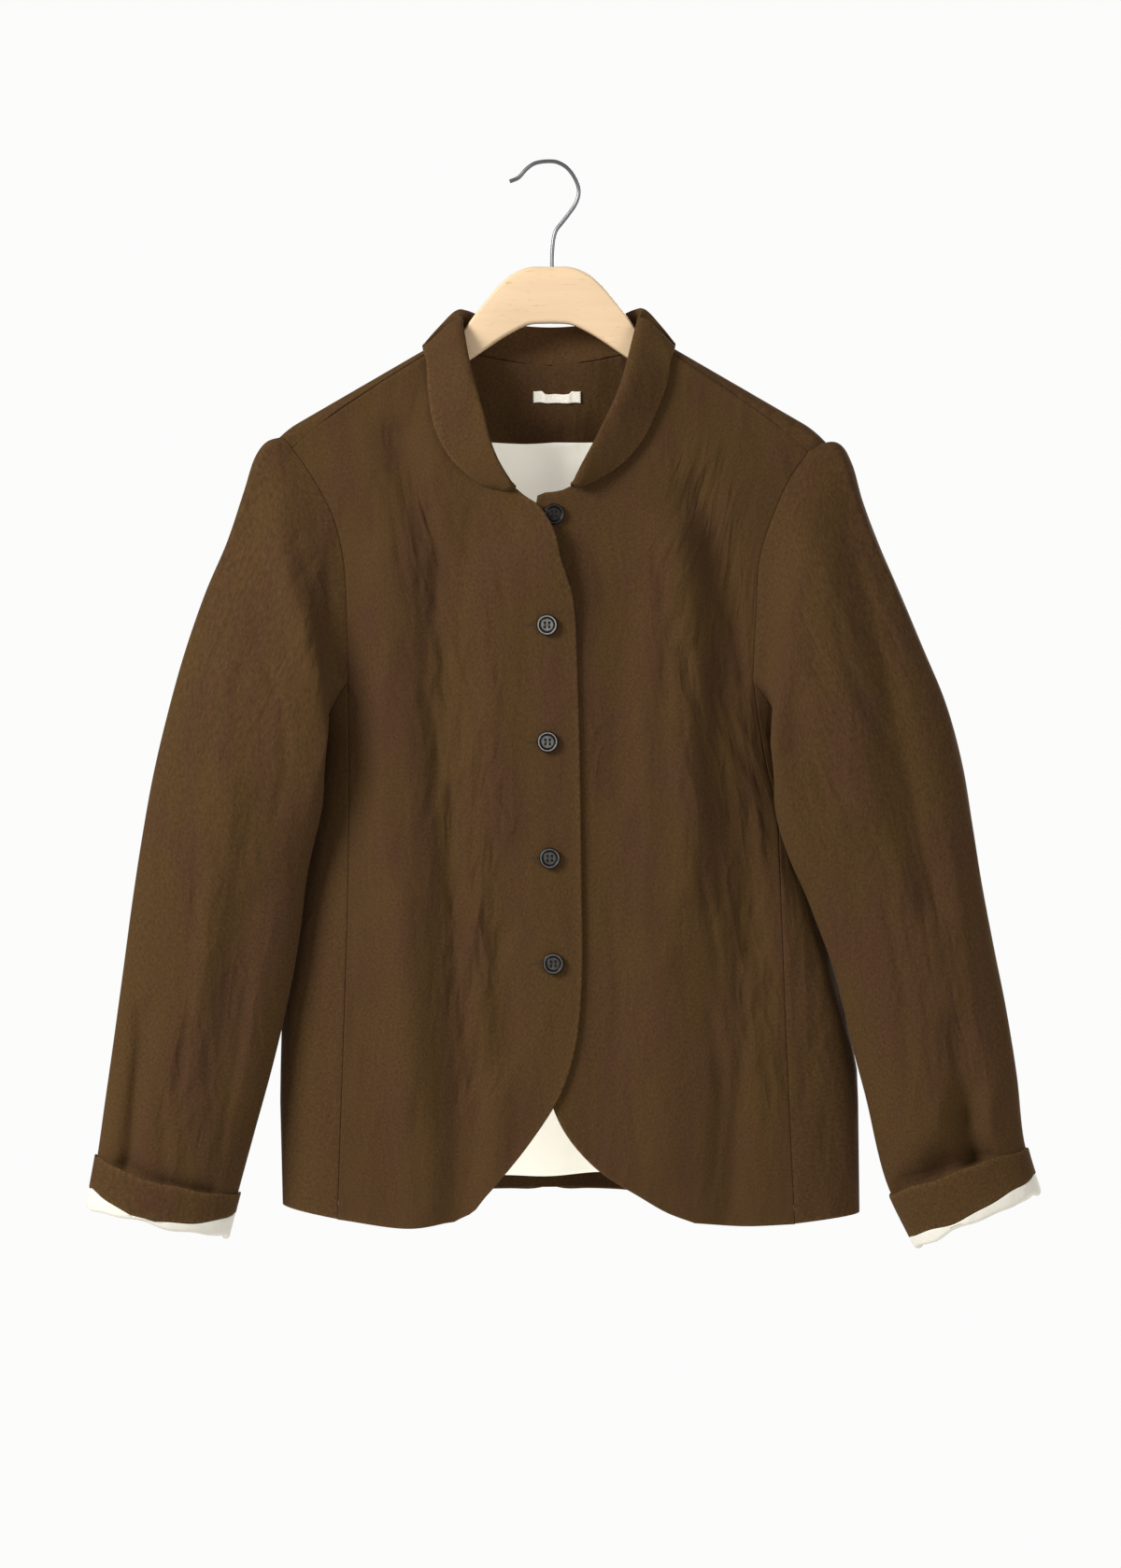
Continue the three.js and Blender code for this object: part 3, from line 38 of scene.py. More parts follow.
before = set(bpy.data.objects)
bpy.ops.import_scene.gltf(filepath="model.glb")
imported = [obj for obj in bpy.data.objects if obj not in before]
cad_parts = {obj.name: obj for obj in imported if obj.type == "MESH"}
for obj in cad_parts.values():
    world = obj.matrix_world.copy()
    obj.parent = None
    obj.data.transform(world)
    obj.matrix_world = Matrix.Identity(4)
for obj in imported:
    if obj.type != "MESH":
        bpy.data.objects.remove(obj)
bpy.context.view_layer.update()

# The forms below are worked out in millimetres, and every mesh is made in metres.
# "Right" and "left" are the wearer's: the right front is on the -X side and lies on top.

MM = 0.001
BODY = "root"
RIGHT = -1
LEFT = 1
SIDE_NAMES = {RIGHT: "right", LEFT: "left"}

# Cloth, in millimetres
CLOTH = 1.6
LINING = 1.2
LABEL = 1.0
SEAM_GAP = 0.06
CUFF_GAP = 0.3
LAYER_GAP = 0.5

# Form of the body: a rounded ridge over the hanger that swells to the chest and the back
NECK_HALF = 79.8
NECK_Z = -132.7
NECK_RISE = 0.3
SHOULDER_SLOPE = 0.58
SHOULDER_DROP = 0.015
SHOULDER_DROP_START = 110
RIDGE_ROUND = 9.2
FRONT_SWELL = 31
BACK_SWELL = 27
SWELL_LENGTH = 150
SWELL_START = 14
SIDE_POWER = 2.6
SIDE_BLEND = 120
FOLD_START = 50

# Cells of each panel's outline, and how many times finer its cloth is
FRONT_COLUMNS = 12
SHOULDER_COLUMNS = 4
NECK_COLUMNS = 12
SIDE_COLUMNS = 6
ARMHOLE_ROWS = 8
SEAM_ROWS = 13
NECKLINE_ROWS = 9
FRONT_ROWS = ARMHOLE_ROWS + SEAM_ROWS
BACK_COLUMNS = 2 * SHOULDER_COLUMNS + NECK_COLUMNS
WRAP_ROWS = 4
BACK_ARMHOLE_ROWS = WRAP_ROWS + 5
HEM_FACING_SHARE = 0.05
FINE = 8
SLEEVE_FINE = 8
RIM_STEPS = 4
DENSE = 40
EDGE_WEAR = 1.6


def table(columns, rows):
    """Names the columns of a short table, and gives an array for each."""
    return {name: np.array([row[i] for row in rows], float) for i, name in enumerate(columns)}


# Half width of the body at its side edge
BODY_EDGE = table(
    ("z", "right", "left"),
    (
        (-200, 222, 230),
        (-300, 205, 212),
        (-380, 184, 187),
        (-430, 171, 172),
        (-485, 176, 179),
        (-530, 184, 190),
        (-580, 193, 206),
        (-640, 201, 222),
        (-681, 202, 229.8),
        (-705, 202.3, 230.8),
        (-790, 200.2, 231.8),
    ),
)

# Distance of the side panel's seams from the centre line
SIDE_SEAM = table(
    ("z", "front_right", "front_left", "back_right", "back_left"),
    (
        (-389, 151.5, 152, 147, 148),
        (-440, 150.8, 159, 143, 148),
        (-490, 150.6, 170.8, 141, 150),
        (-565, 151.5, 173.3, 140, 154),
        (-665, 154.7, 176.8, 143, 159),
        (-795, 159, 182.7, 148, 166),
    ),
)

# The shoulder seam runs in front of the shoulder fold, this far below it
SHOULDER_SEAM = table(
    ("x", "right", "left"),
    ((83.3, 3.5, 3.5), (125, 5, 7), (155, 7.7, 9.6), (180, 10.6, 14), (193.5, 16, 18.9)),
)

ARMHOLE_FRONT = {
    RIGHT: ((178, -237.6), (163, -266.3), (155, -298), (152.3, -340), (151.5, -389)),
    LEFT: ((179.2, -239), (167, -266), (157, -298), (154.3, -340), (152, -389)),
}
ARMHOLE_BACK = {
    RIGHT: ((199, -223), (189, -246), (177, -275), (165, -308), (155, -345), (147, -389)),
    LEFT: ((204.5, -227), (192, -249), (179, -277), (167, -309), (157, -345), (148, -389)),
}
SHOULDER_POINT = {RIGHT: 204.4, LEFT: 210.3}
UNDERARM_DROP = 40
UNDERARM_CURVE = 2
SIDE_HEM_CURVE = 1.5

NECKLINE = {
    RIGHT: (
        (-79.5, -154), (-77.2, -172), (-71.4, -194), (-61, -215), (-45.5, -232.7), (-25.5, -246),
    ),
    LEFT: ((80.3, -152), (77.5, -172), (72, -194), (61.6, -214), (46, -229), (15, -244.2)),
}
NECKLINE_BACK = ((75, -136.6), (66, -140.8), (50, -145), (27, -149.4), (0, -152))
NECK_FOLD_X = 80.5
WRAP_WAYS = (0, 7.5, 15)
WRAP_REACH = 20
WRAP_STEP = 5

# Free edge of each front, from the collar's end down to the lowest point of the cutaway
FRONT_EDGE = {
    RIGHT: (
        (-25.5, -246), (-18.2, -252.2), (-9.8, -257.6), (-3.5, -265.7), (1.4, -274.1), (4.9, -284),
        (7.2, -296.5), (12.2, -312), (16, -324), (18.3, -340), (19.6, -365), (21.8, -440),
        (23.2, -540), (23.6, -612), (19, -662), (8, -698), (-16, -736), (-42, -768),
        (-50, -777), (-58, -787), (-72, -794),
    ),
    LEFT: (
        (15, -244.2), (8, -247.4), (0, -248.6), (-7.7, -249.6), (-9.9, -252), (-10.6, -260),
        (-14.5, -285), (-17.5, -369), (-15.8, -490), (-12.8, -610),
        (-6, -676), (8, -722), (34, -754), (68, -776), (88, -787.5), (108, -795),
    ),
}
FRONT_HEM = {
    RIGHT: ((-72, -794), (-105, -799), (-159, -792.5)),
    LEFT: ((108, -795), (142, -797.4), (182.7, -796)),
}
HEM = {
    RIGHT: {"front": -792.5, "edge": -783, "back": -782},
    LEFT: {"front": -796, "edge": -789, "back": -785},
}
BACK_HEM_CENTRE = -773
BACK_HEM_SPREAD = {RIGHT: -112, LEFT: 130}

# The overlap: the right front stands this far forward of the body, and the left front behind it
OVERLAP_STEP = {RIGHT: 1.4, LEFT: 2.1}
OVERLAP_HALF = 34
OVERLAP_FADE = 40
CORNER_LIFT = {"x": 8, "z": -292, "height": 9.5, "reach": 46}

# A turned and faced front edge: the thickness it adds, how wide, and the rows it starts over
TURNED_EDGE = {"swell": 0.7, "width": 7, "rows": 2}

# Folds and creases: depth inwards, half width, and the line they follow as (x, z)
FRONT_FOLDS = (
    (6.5, 15, ((-115, -205), (-84, -300), (-80, -440), (-70, -604), (-66, -700), (-68, -790))),
    (-3.5, 17, ((-108, -560), (-102, -680), (-98, -790))),
    (-4.5, 19, ((-124, -300), (-117, -480), (-108, -700))),
    (-3, 15, ((-44, -310), (-40, -500))),
    (3.5, 13, ((-38, -585), (-34, -668))),
    (-2.5, 12, ((-38, -700), (-44, -780))),
    (6, 14, ((112, -250), (135, -345), (126, -440), (140, -505), (150, -590))),
    (-5, 15, ((96, -276), (109, -378), (104, -545))),
    (5, 15, ((139, -690), (133, -790))),
    (-3.5, 18, ((78, -600), (84, -740))),
    (3, 14, ((56, -330), (50, -470))),
    (5.5, 34, ((-54, -290), (-47, -420), (-46, -520), (-38, -680))),
    (5.5, 30, ((138, -300), (147, -420), (152, -520), (156, -620))),
    (-3, 26, ((88, -300), (92, -440), (98, -600), (104, -740))),
)
# Where the cloth is crumpled: how much, half width, and the line
CRUMPLES = (
    (0.9, 22, ((-92, -250), (-84, -330), (-78, -430), (-66, -520), (-60, -610), (-52, -700))),
    (0.7, 20, ((-48, -330), (-44, -440), (-50, -560), (-70, -640))),
    (0.9, 24, ((108, -235), (130, -320), (132, -420), (142, -500), (152, -600), (160, -690))),
    (0.7, 20, ((88, -300), (100, -400), (110, -480), (120, -560))),
    (0.8, 20, ((196, -480), (206, -560), (212, -640), (208, -720))),
    (0.7, 26, ((-236, -350), (-240, -440), (-250, -540), (-262, -660), (-276, -740))),
    (0.6, 22, ((-190, -300), (-182, -360), (-200, -420))),
    (0.8, 26, ((232, -300), (250, -400), (268, -500), (290, -600), (306, -700))),
    (0.6, 20, ((196, -330), (200, -420), (226, -500))),
)
FRONT_CREASES = (
    (1.6, 6, ((-90, -262), (-84, -300), (-88, -345), (-80, -372))),
    (1.3, 5, ((-99, -318), (-93, -366), (-97, -410))),
    (-1.1, 6, ((-76, -330), (-71, -380), (-74, -430))),
    (1.5, 6, ((-90, -404), (-84, -450), (-88, -486))),
    (1.7, 6, ((-74, -470), (-71, -501), (-77, -542), (-64, -580))),
    (-1.2, 6, ((-58, -520), (-55, -570))),
    (1.2, 5, ((-71, -590), (-66, -640), (-58, -690))),
    (1.4, 6, ((-56, -640), (-52, -700), (-58, -760))),
    (0.8, 5, ((-128, -235), (-118, -262), (-112, -300))),
    (0.7, 4, ((-140, -420), (-136, -470))),
    (-0.8, 7, ((-122, -360), (-126, -430), (-120, -520))),
    (0.7, 5, ((-38, -300), (-34, -330))),
    (0.9, 5, ((-30, -630), (-18, -655))),
    (0.8, 5, ((-101, -700), (-98, -780))),
    (0.6, 5, ((-150, -560), (-147, -640), (-152, -700))),
    (0.8, 6, ((-60, -262), (-66, -330))),
    (2, 6, ((117, -285), (121, -318), (136, -346), (145, -389))),
    (1.8, 5.5, ((100, -366), (104, -392), (117, -450), (123, -501), (128, -551))),
    (1.8, 6, ((134, -428), (147, -450), (159, -470), (165, -523))),
    (-1.3, 5, ((126, -400), (131, -440), (140, -480))),
    (1.4, 5, ((112, -520), (116, -560), (126, -600))),
    (1.2, 5, ((150, -480), (146, -520), (152, -560))),
    (1, 5, ((92, -345), (96, -372))),
    (1.2, 6, ((80, -300), (88, -350), (84, -410))),
    (-1, 7, ((70, -420), (74, -500), (70, -570))),
    (1.3, 6, ((140, -600), (146, -650), (138, -720), (136, -780))),
    (1.2, 6, ((120, -640), (128, -700), (122, -770))),
    (-1, 6, ((152, -660), (156, -720))),
    (0.9, 6, ((46, -560), (52, -640), (48, -700))),
    (0.7, 5, ((60, -700), (68, -760))),
    (0.8, 5, ((34, -290), (40, -330))),
    (0.8, 5, ((150, -250), (140, -290), (132, -330))),
)
BACK_FOLDS = (
    (5, 17, ((-118, -300), (-92, -430), (-88, -640))),
    (-4, 20, ((-66, -360), (-56, -560), (-60, -779))),
    (4.5, 18, ((-14, -520), (-8, -779))),
    (-4, 20, ((40, -330), (46, -520), (38, -779))),
    (5.5, 17, ((124, -290), (96, -420), (92, -600), (98, -700))),
    (3, 14, ((-20, -190), (16, -196))),
)
BACK_CREASES = (
    (1.5, 6, ((-130, -280), (-112, -340), (-100, -400))),
    (1.3, 5, ((-96, -450), (-90, -520), (-94, -580))),
    (-1.1, 6, ((-78, -400), (-74, -470))),
    (1.2, 6, ((-84, -600), (-78, -680), (-82, -760))),
    (0.9, 5, ((-46, -300), (-40, -370))),
    (1.1, 5, ((-30, -560), (-24, -640), (-28, -720))),
    (-0.9, 6, ((2, -420), (6, -520))),
    (1, 5, ((12, -600), (16, -680), (10, -750))),
    (0.8, 5, ((56, -380), (62, -460))),
    (1.4, 6, ((132, -290), (114, -350), (102, -410))),
    (1.3, 5, ((100, -470), (94, -540), (100, -610))),
    (-1, 6, ((80, -560), (76, -640))),
    (1.1, 6, ((112, -640), (116, -710), (110, -770))),
    (0.8, 5, ((-20, -205), (4, -212), (26, -206))),
)

# Sleeve sections from the armhole to the turned-up end. Outer and inner are the edges seen from
# the front, y their depth; front and back are the half depths between them, keep the share of
# the armhole's own shape that is left, and dip how far the front hangs lower than the back.
SLEEVE_COLUMNS = (
    "outer_x", "outer_z", "outer_y", "inner_x", "inner_z", "inner_y",
    "front", "back", "keep", "dip",
)
SLEEVE = {
    RIGHT: table(SLEEVE_COLUMNS, (
        (213.5, -211, -1, 179, -434, -6, 24, 23, 0.88, 0),
        (221, -221, -2, 179.5, -442, -17, 26, 24, 0.78, 0),
        (229.5, -247, -3, 175, -453, -27, 28, 25, 0.64, 0),
        (242, -285, -5, 170.5, -466, -32, 29, 26, 0.46, 0),
        (258, -323, -8, 170.5, -480, -33, 29, 26, 0.28, 0),
        (274, -370, -12, 173.5, -496, -32, 28, 26, 0.16, 0),
        (287, -418, -16, 178.5, -516, -30, 27, 25, 0.07, 0),
        (297, -462, -19, 183.2, -540, -28.5, 26, 24, 0, 0),
        (305, -508, -22, 187, -572, -27.5, 25, 23, 0, 1),
        (312, -555, -24, 192, -604, -27, 25, 22, 0, 1.5),
        (319, -608, -25, 200, -643, -26, 25, 22, 0, 1.5),
        (326, -660, -26, 209.5, -682, -26, 25, 22, 0, 1.5),
        (332.5, -706, -26, 220.5, -722, -26, 25, 22, 0, 1.5),
        (338, -745, -26, 233, -768, -26, 25, 22, 0, 1.5),
        (344.5, -781, -26, 242, -803, -26, 25, 22, 0, 1.5),
    )),
    LEFT: table(SLEEVE_COLUMNS, (
        (218.5, -213.5, -1, 179, -434, -7, 24, 23, 0.88, 0),
        (226, -226, -2, 180.5, -443, -17, 26, 24, 0.78, 0),
        (234, -254, -3, 175, -455, -28, 28, 25, 0.64, 0),
        (247, -289, -5, 168.5, -469, -34, 29, 26, 0.46, 0),
        (262, -324, -8, 168.5, -484, -36, 29, 26, 0.28, 0),
        (278.5, -364, -12, 172, -501, -36, 28, 26, 0.16, 0),
        (296, -407, -16, 180, -524, -34.5, 27, 25, 0.07, 0),
        (308, -452, -19, 191, -548, -32, 26, 24, 0, 0),
        (315.5, -498, -22, 201.5, -575, -30, 25, 23, 0, 0.5),
        (322, -540, -24, 211, -600, -28, 25, 22, 0, 0.5),
        (331, -588, -25, 219.5, -632, -27, 25, 22, 0, 0),
        (340.5, -636, -26, 228, -668, -26, 25, 22, 0, -0.5),
        (348.5, -686, -26, 237, -702, -26, 25, 22, 0, -1),
        (354, -735, -26, 252, -764, -26, 25, 22, 0, -1.5),
        (364.5, -771, -26, 274, -811, -26, 25, 22, 0, -1.5),
    )),
}
ARMHOLE_BULGE = 23
SLEEVE_CLEAR = 3.4
SLEEVE_REST_Z = -402
SLEEVE_REST_FADE = 22
SLEEVE_FOLD_START = 40
# The sine of the turn above which a sleeve passes before the body
AHEAD = -0.01
# Where the back of the sleeve is eased under the arm: where it starts, ends and fades, in turns
# round the sleeve, how far down it goes, and how often
UNDERARM_TURNS = (0.12, 1.3, 0.8)
UNDERARM_EASED = 60
UNDERARM_FADE = 35
UNDERARM_PASSES = 60
SLEEVE_FOLDS = (
    (-5, 12, ((-207, -262), (-196, -310), (-184, -345), (-170, -385))),
    (4, 12, ((-186, -285), (-172, -330), (-166, -372))),
    (-3, 14, ((-238, -470), (-262, -640))),
    (4, 16, ((-226, -560), (-246, -690))),
    (6.5, 14, ((227, -273), (239, -338), (251, -384), (271, -495), (285, -555))),
    (-4, 16, ((205, -300), (222, -400), (236, -480))),
    (4, 12, ((181, -402), (185, -440))),
)
SLEEVE_CREASES = (
    (2.2, 6, ((-312, -600), (-307, -660), (-311, -745))),
    (1.4, 6, ((-262, -520), (-268, -600), (-276, -690))),
    (-1.2, 7, ((-240, -380), (-248, -450), (-256, -520))),
    (1.3, 5, ((-222, -330), (-214, -372), (-204, -400))),
    (1.2, 5, ((-200, -410), (-196, -450), (-204, -490))),
    (1, 5, ((-286, -470), (-292, -540))),
    (1.2, 5, ((-226, -620), (-234, -680), (-246, -740))),
    (0.9, 5, ((-290, -700), (-286, -770))),
    (1.5, 5, ((203.7, -229), (188, -244), (172, -261))),
    (1.6, 5, ((231, -300), (246, -360), (256, -420))),
    (1.5, 5, ((262, -440), (274, -500), (288, -560), (296, -610))),
    (1.4, 6, ((185, -531), (198, -565))),
    (1.2, 5, ((212, -330), (220, -372), (236, -410))),
    (1, 5, ((250, -560), (262, -620), (268, -680))),
    (-1.1, 6, ((300, -520), (310, -600), (318, -660))),
    (0.9, 5, ((336, -640), (342, -700))),
)
SLEEVE_BACK_CREASES = (
    (2.4, 8, ((-240, -300), (-262, -380), (-270, -460))),
    (1.8, 7, ((-214, -420), (-232, -500), (-238, -590))),
    (1.5, 6, ((-288, -560), (-300, -660), (-304, -740))),
    (2.6, 8, ((244, -300), (262, -370), (280, -450))),
    (1.7, 7, ((218, -440), (240, -520), (250, -600))),
    (1.6, 6, ((306, -600), (322, -690), (330, -750))),
)

# The turned-up sleeve end: height of the band, and of the cream edge below it, at the sleeve's
# inner side, middle and outer side
CUFF_BAND = {RIGHT: (15, 28, 22), LEFT: (33, 33, 15)}
CUFF_REVEAL = {RIGHT: (17, 0.8, 16), LEFT: (9, 4.5, 16)}
CUFF_FOLDS = (
    (5, 13, ((303, -650), (307, -690), (311, -720), (316.5, -748))),
    (8, 9, ((309, -716), (316.5, -748))),
    (13, 14, ((318, -750), (300, -754), (284, -761), (262, -773))),
    (6, 11, ((309, -700), (302, -728), (290, -748))),
    (-3, 8, ((327, -700), (328, -738))),
    (5.5, 8, ((-303, -640), (-304, -668), (-309, -700), (-315.5, -752))),
    (7, 10, ((-317, -756), (-300, -764), (-278, -771), (-256, -775))),
)
CUFF_FOLD_START = 9
CUFF_FOLD_FADE = 9
CUFF_LAYER = CLOTH + LAYER_GAP
CUFF_LINING_UP = 36
CUFF_HALF_WIDTH = 55
SHELL_END = 1.2
CUFF_ROWS = 9
CUFF_OUTSIDE = (1, 0.66, 0.33)
CUFF_LINING_ROWS = 9
LEAST_REVEAL = 0.8
# Ripple of the turned end: waves round it, where they start and how high they are
END_RIPPLE = ((5, 0, 0.9), (9, 1, 0.7))
RIPPLE_SHARE = 0.7

# Collar stations from the front end to the centre back: the roll at the top of the stand and the
# edge of the fall. The seam under them is the neckline.
COLLAR = {
    RIGHT: (
        (-25.2, -33, -244.8, -30.5, -248.2), (-29.6, -36.3, -238.5, -40, -246),
        (-34.5, -37.5, -231, -50.5, -243), (-40, -37.5, -220.5, -61.5, -236),
        (-45, -36, -207, -72.5, -226), (-49, -33.5, -191, -81, -213),
        (-53.5, -30, -175, -87.5, -196), (-58, -24.5, -158.5, -91, -174),
        (-62, -16.5, -140, -92.5, -153.5), (-65, -7, -121, -94, -143.5),
        (-66, 2, -112.5, -93.5, -141.3), (-61, 10, -112, -89, -144.8),
        (-54, 15, -113.5, -77, -153), (-42, 18.5, -117, -60, -159),
        (-22, 20.5, -120.8, -32, -162.5), (0, 21, -122.2, 0, -163.5),
    ),
    LEFT: (
        (15, -31.5, -242.5, 19, -245.6), (18, -34, -237, 28, -242.5),
        (22.5, -36, -228.5, 38.5, -237.5), (29, -36.5, -217, 50, -230.5),
        (36, -35.5, -204, 60.5, -221), (43, -33.5, -189.5, 71, -207),
        (50, -30, -173.5, 80, -187), (55.5, -24.5, -156.5, 87, -168),
        (60, -16.5, -138.5, 90, -151.5), (64.5, -7, -120, 92, -142.4),
        (66.5, 2, -111.5, 91.5, -140.1), (61, 10, -111.5, 87.5, -144),
        (54, 15, -113.5, 77, -153), (42, 18.5, -117, 60, -159),
        (22, 20.5, -120.8, 32, -162.5), (0, 21, -122.2, 0, -163.5),
    ),
}
COLLAR_FOLD = 2.9
COLLAR_FOLD_SHARE = 0.3
COLLAR_ROLL = 0.25
COLLAR_CLEAR = 2.7
COLLAR_END_CLEAR = 0.5
COLLAR_END_THIN = 0.7
COLLAR_LIFT = 0.6
COLLAR_CLOTH = 2
COLLAR_FINE = 5

# Lines between the pieces inside the back, from the wearer's left to the right
FACING = {
    "neck": (
        (66, -140.6), (50, -144.5), (27, -148.8), (0, -151.4), (-27, -148.8), (-50, -144.5),
        (-66, -140.6),
    ),
    "bottom": (
        (72, -208), (48, -209.4), (24, -208.6), (0, -209), (-24, -209.8), (-48, -208.8),
        (-72, -208),
    ),
    "hem": (
        (118, -767), (80, -763.5), (38, -761), (0, -763.8), (-34, -763.2), (-80, -765),
        (-118, -768),
    ),
    "edge": (
        (118, -778), (80, -774.8), (38, -772.6), (0, -772), (-34, -772.5), (-80, -774.6),
        (-118, -777.7),
    ),
}
NECK_LABEL = {"x0": -13, "x1": 23, "z0": -170.5, "z1": -179.5}
LABEL_CELLS = (72, 9)
# The label's dip between its ends: where it starts and fades, and how far each way it goes
LABEL_DIP = {"start": 0.17, "fade": 0.09, "top": 2.3, "bottom": 0.3, "out": 0.4}
LABEL_WAVE = 0.2
LABEL_STITCH = 0.16
# Between these heights, in metres, the back lining's painted glow rises from a low value under the
# collar, which stands for its shade, to a higher one lower down
PAINTED_GLOW_HEIGHTS = (-0.24, -0.42)
LINING_PAINTED_GLOW = (0.5, 0.95)
# Rows of cloth in each piece inside the back
INSIDE_ROWS = {"facing": 50, "lining": 180, "hem": 16}

# Buttons: their places, and a profile of radius and height with a rim and a groove inside it
BUTTONS = (
    (3, -265.4, LEFT), (-2, -348, RIGHT), (-1.6, -435.7, RIGHT), (0, -522.5, RIGHT),
    (2.6, -601.2, RIGHT),
)
BUTTON_RADIUS = 8
BUTTON_PROFILE = (
    (0, 0), (6.6, 0), (7.6, 0.9), (8, 1.9), (7.8, 2.8), (7.2, 3.3), (6.5, 3.4), (5.9, 3.15),
    (5.5, 2.55), (5.1, 2.5), (4.6, 2.75), (3.4, 2.7), (1.5, 2.55), (0, 2.5),
)
# Painted highlight on the horn's rim and dish at each radius, and its strength on each button (the
# first is kept dark as painted shade)
HIGHLIGHT_RING = ((0, 3.6, 4.4, 4.7, 6.2, 6.4, 6.9, 7.1), (0.4, 0.5, 0.45, 0, 0, 1, 1, 0))
HIGHLIGHT_SHARE = (0.1, 1, 0.8, 0.4, 0.35)
HIGHLIGHT_ABOVE = 2.3
BUTTON_HOLE = {"radius": 0.9, "pitch": 1.7, "depth": 2.3}
PROFILE_FINE = 6
BUTTON_SIDES = 64
HOLE_SIDES = 16
SEAT_SIDES = 12
# Height of the dish, and a height above the whole button
BUTTON_DISH = 2.5
BUTTON_TOP = 5
BUTTONHOLE_STARTS = {1: -20.3, 2: -17.2, 3: -15.8, 4: -14.3}
BUTTONHOLE_END = -1
# Radius of the thread in buttons and buttonholes, and how far each strand lies off the middle
THREAD = {"radius": 0.2, "off": 0.22}
BINDING = {"radius": 0.22, "off": 0.26, "points": 60, "raised": 0.05}
BAR = {"half": 0.6, "off": 0.1, "points": 7, "raised": 0.16}
# A strand of thread between two holes: its share of their pitch, and its height
THREAD_WAY = (
    (-0.78, 1.2), (-0.74, 2.3), (-0.5, 2.6), (0, 2.68), (0.5, 2.6), (0.74, 2.3), (0.78, 1.2),
)

# Hanger: half outline of the wooden yoke, and the steel hook's centre line
WOOD_FLECK = (0.52, 0.29, 0.13)
YOKE_THICKNESS = 11
YOKE_EDGE = 3.2
YOKE = table(
    ("x", "top", "bottom"),
    (
        (0, -78, -120.5), (16, -78.4, -121.6), (29, -83.8, -127.6), (38, -91.4, -133),
        (48, -103, -139.8), (58, -115.6, -146.6), (66, -126.6, -151.6), (73, -132, -155.2),
        (80, -136.4, -158.6), (90, 0, -163.8), (120, 0, -180.6), (160, 0, -202.6),
        (182, 0, -213.6), (190, 0, -213.6),
    ),
)
# Half length of the yoke, and the length over which its end is rounded
YOKE_HALF = 190
YOKE_ROUND = 4
# The crest is seen as far as this row of the outline
YOKE_SEEN = 9
YOKE_FINE = 30
YOKE_EDGE_POINTS = 6
# Stations along half the yoke, and close together at its rounded end
YOKE_STATIONS = (150, 12)
YOKE_LEAST = {"round": 0.02, "thick": 0.25, "tall": 0.4}
# Further out than this the yoke's top follows the shoulders
YOKE_UNDER_CLOTH = 74
YOKE_UNDER_FADE = 10
YOKE_SEAT = 2.75
YOKE_END_START = 178
YOKE_END_DROP = 0.024
HOOK_RADIUS = 1.5
HOOK_END = 13.4
HOOK_FINE = 8
CURVE_ROUND = 4
HOOK = (
    (-30.5, -13.7), (-24.1, -10.9), (-18.2, -4.6), (-12.6, -0.5), (-6.7, 1.1), (0, 1.5),
    (4.9, 0.9), (11.9, -2.8), (17.7, -9.7), (21.2, -17.9), (21.4, -23.7), (18.9, -30.7),
    (14.3, -37.6), (8.4, -45.2), (4.4, -50.4), (2.7, -56.2), (1.7, -65.5), (1.4, -77.1),
)


def smoothstep(t):
    c = np.clip(t, 0, 1)
    return c * c * (3 - 2 * c)


def lerp(a, b, t):
    return a + (b - a) * t


def unit(vectors):
    return vectors / np.maximum(np.linalg.norm(vectors, axis=-1, keepdims=True), 1e-9)


def at_height(rows, z, column):
    """Value of one column of a table at a height between two of its rows."""
    return np.interp(-np.asarray(z, float), -rows["z"], rows[column])


def smooth(points, steps):
    """A smooth curve through the given points, with steps points for each stretch."""
    p = np.asarray(points, float)
    p = np.concatenate([[2 * p[0] - p[1]], p, [2 * p[-1] - p[-2]]])
    gaps = np.sqrt(np.maximum(np.linalg.norm(np.diff(p, axis=0), axis=-1, keepdims=True), 1e-6))
    t = (np.arange(steps) / steps).reshape((-1,) + (1,) * (p.ndim - 1))
    parts = []
    for i in range(len(p) - 3):
        a, b, c, d = p[i : i + 4]
        before, own, after = gaps[i : i + 3]
        start = own * ((b - a) / before - (c - a) / (before + own) + (c - b) / own)
        end = own * ((c - b) / own - (d - b) / (own + after) + (d - c) / after)
        parts.append(
            b * (2 * t**3 - 3 * t**2 + 1)
            + start * (t**3 - 2 * t**2 + t)
            + c * (3 * t**2 - 2 * t**3)
            + end * (t**3 - t**2)
        )
    return np.concatenate([*parts, p[-2][None]])


def refined(points, corners=()):
    """Points FINE times closer on smooth curves that turn sharply only at the corners."""
    ends = [0, *corners, len(points) - 1]
    parts = [smooth(points[a : b + 1], FINE)[:-1] for a, b in zip(ends, ends[1:])]
    return np.concatenate([*parts, np.asarray(points[-1:], float)])


def lengths(points):
    steps = np.linalg.norm(np.diff(points, axis=0), axis=-1)
    return np.concatenate([np.zeros_like(steps[:1]), np.cumsum(steps, axis=0)])


def spaced(points, cells):
    """Evenly spaced points on a smooth curve through the given ones."""
    dense = smooth(points, DENSE)
    way = lengths(dense)
    even = np.linspace(0, way[-1], cells + 1)
    return np.stack([np.interp(even, way, dense[:, k]) for k in range(dense.shape[1])], -1)


def distance_to_line(x, z, line):
    nearest = np.full(np.shape(x), np.inf)
    for (ax, az), (bx, bz) in zip(line, line[1:]):
        length2 = (bx - ax) ** 2 + (bz - az) ** 2
        t = np.clip(((x - ax) * (bx - ax) + (z - az) * (bz - az)) / length2, 0, 1)
        nearest = np.minimum(nearest, np.hypot(x - lerp(ax, bx, t), z - lerp(az, bz, t)))
    return nearest


def fold_depth(folds, x, z):
    depth = np.zeros(np.shape(x))
    for height, width, line in folds:
        depth += height * np.exp(-((distance_to_line(x, z, line) / width) ** 2))
    return depth


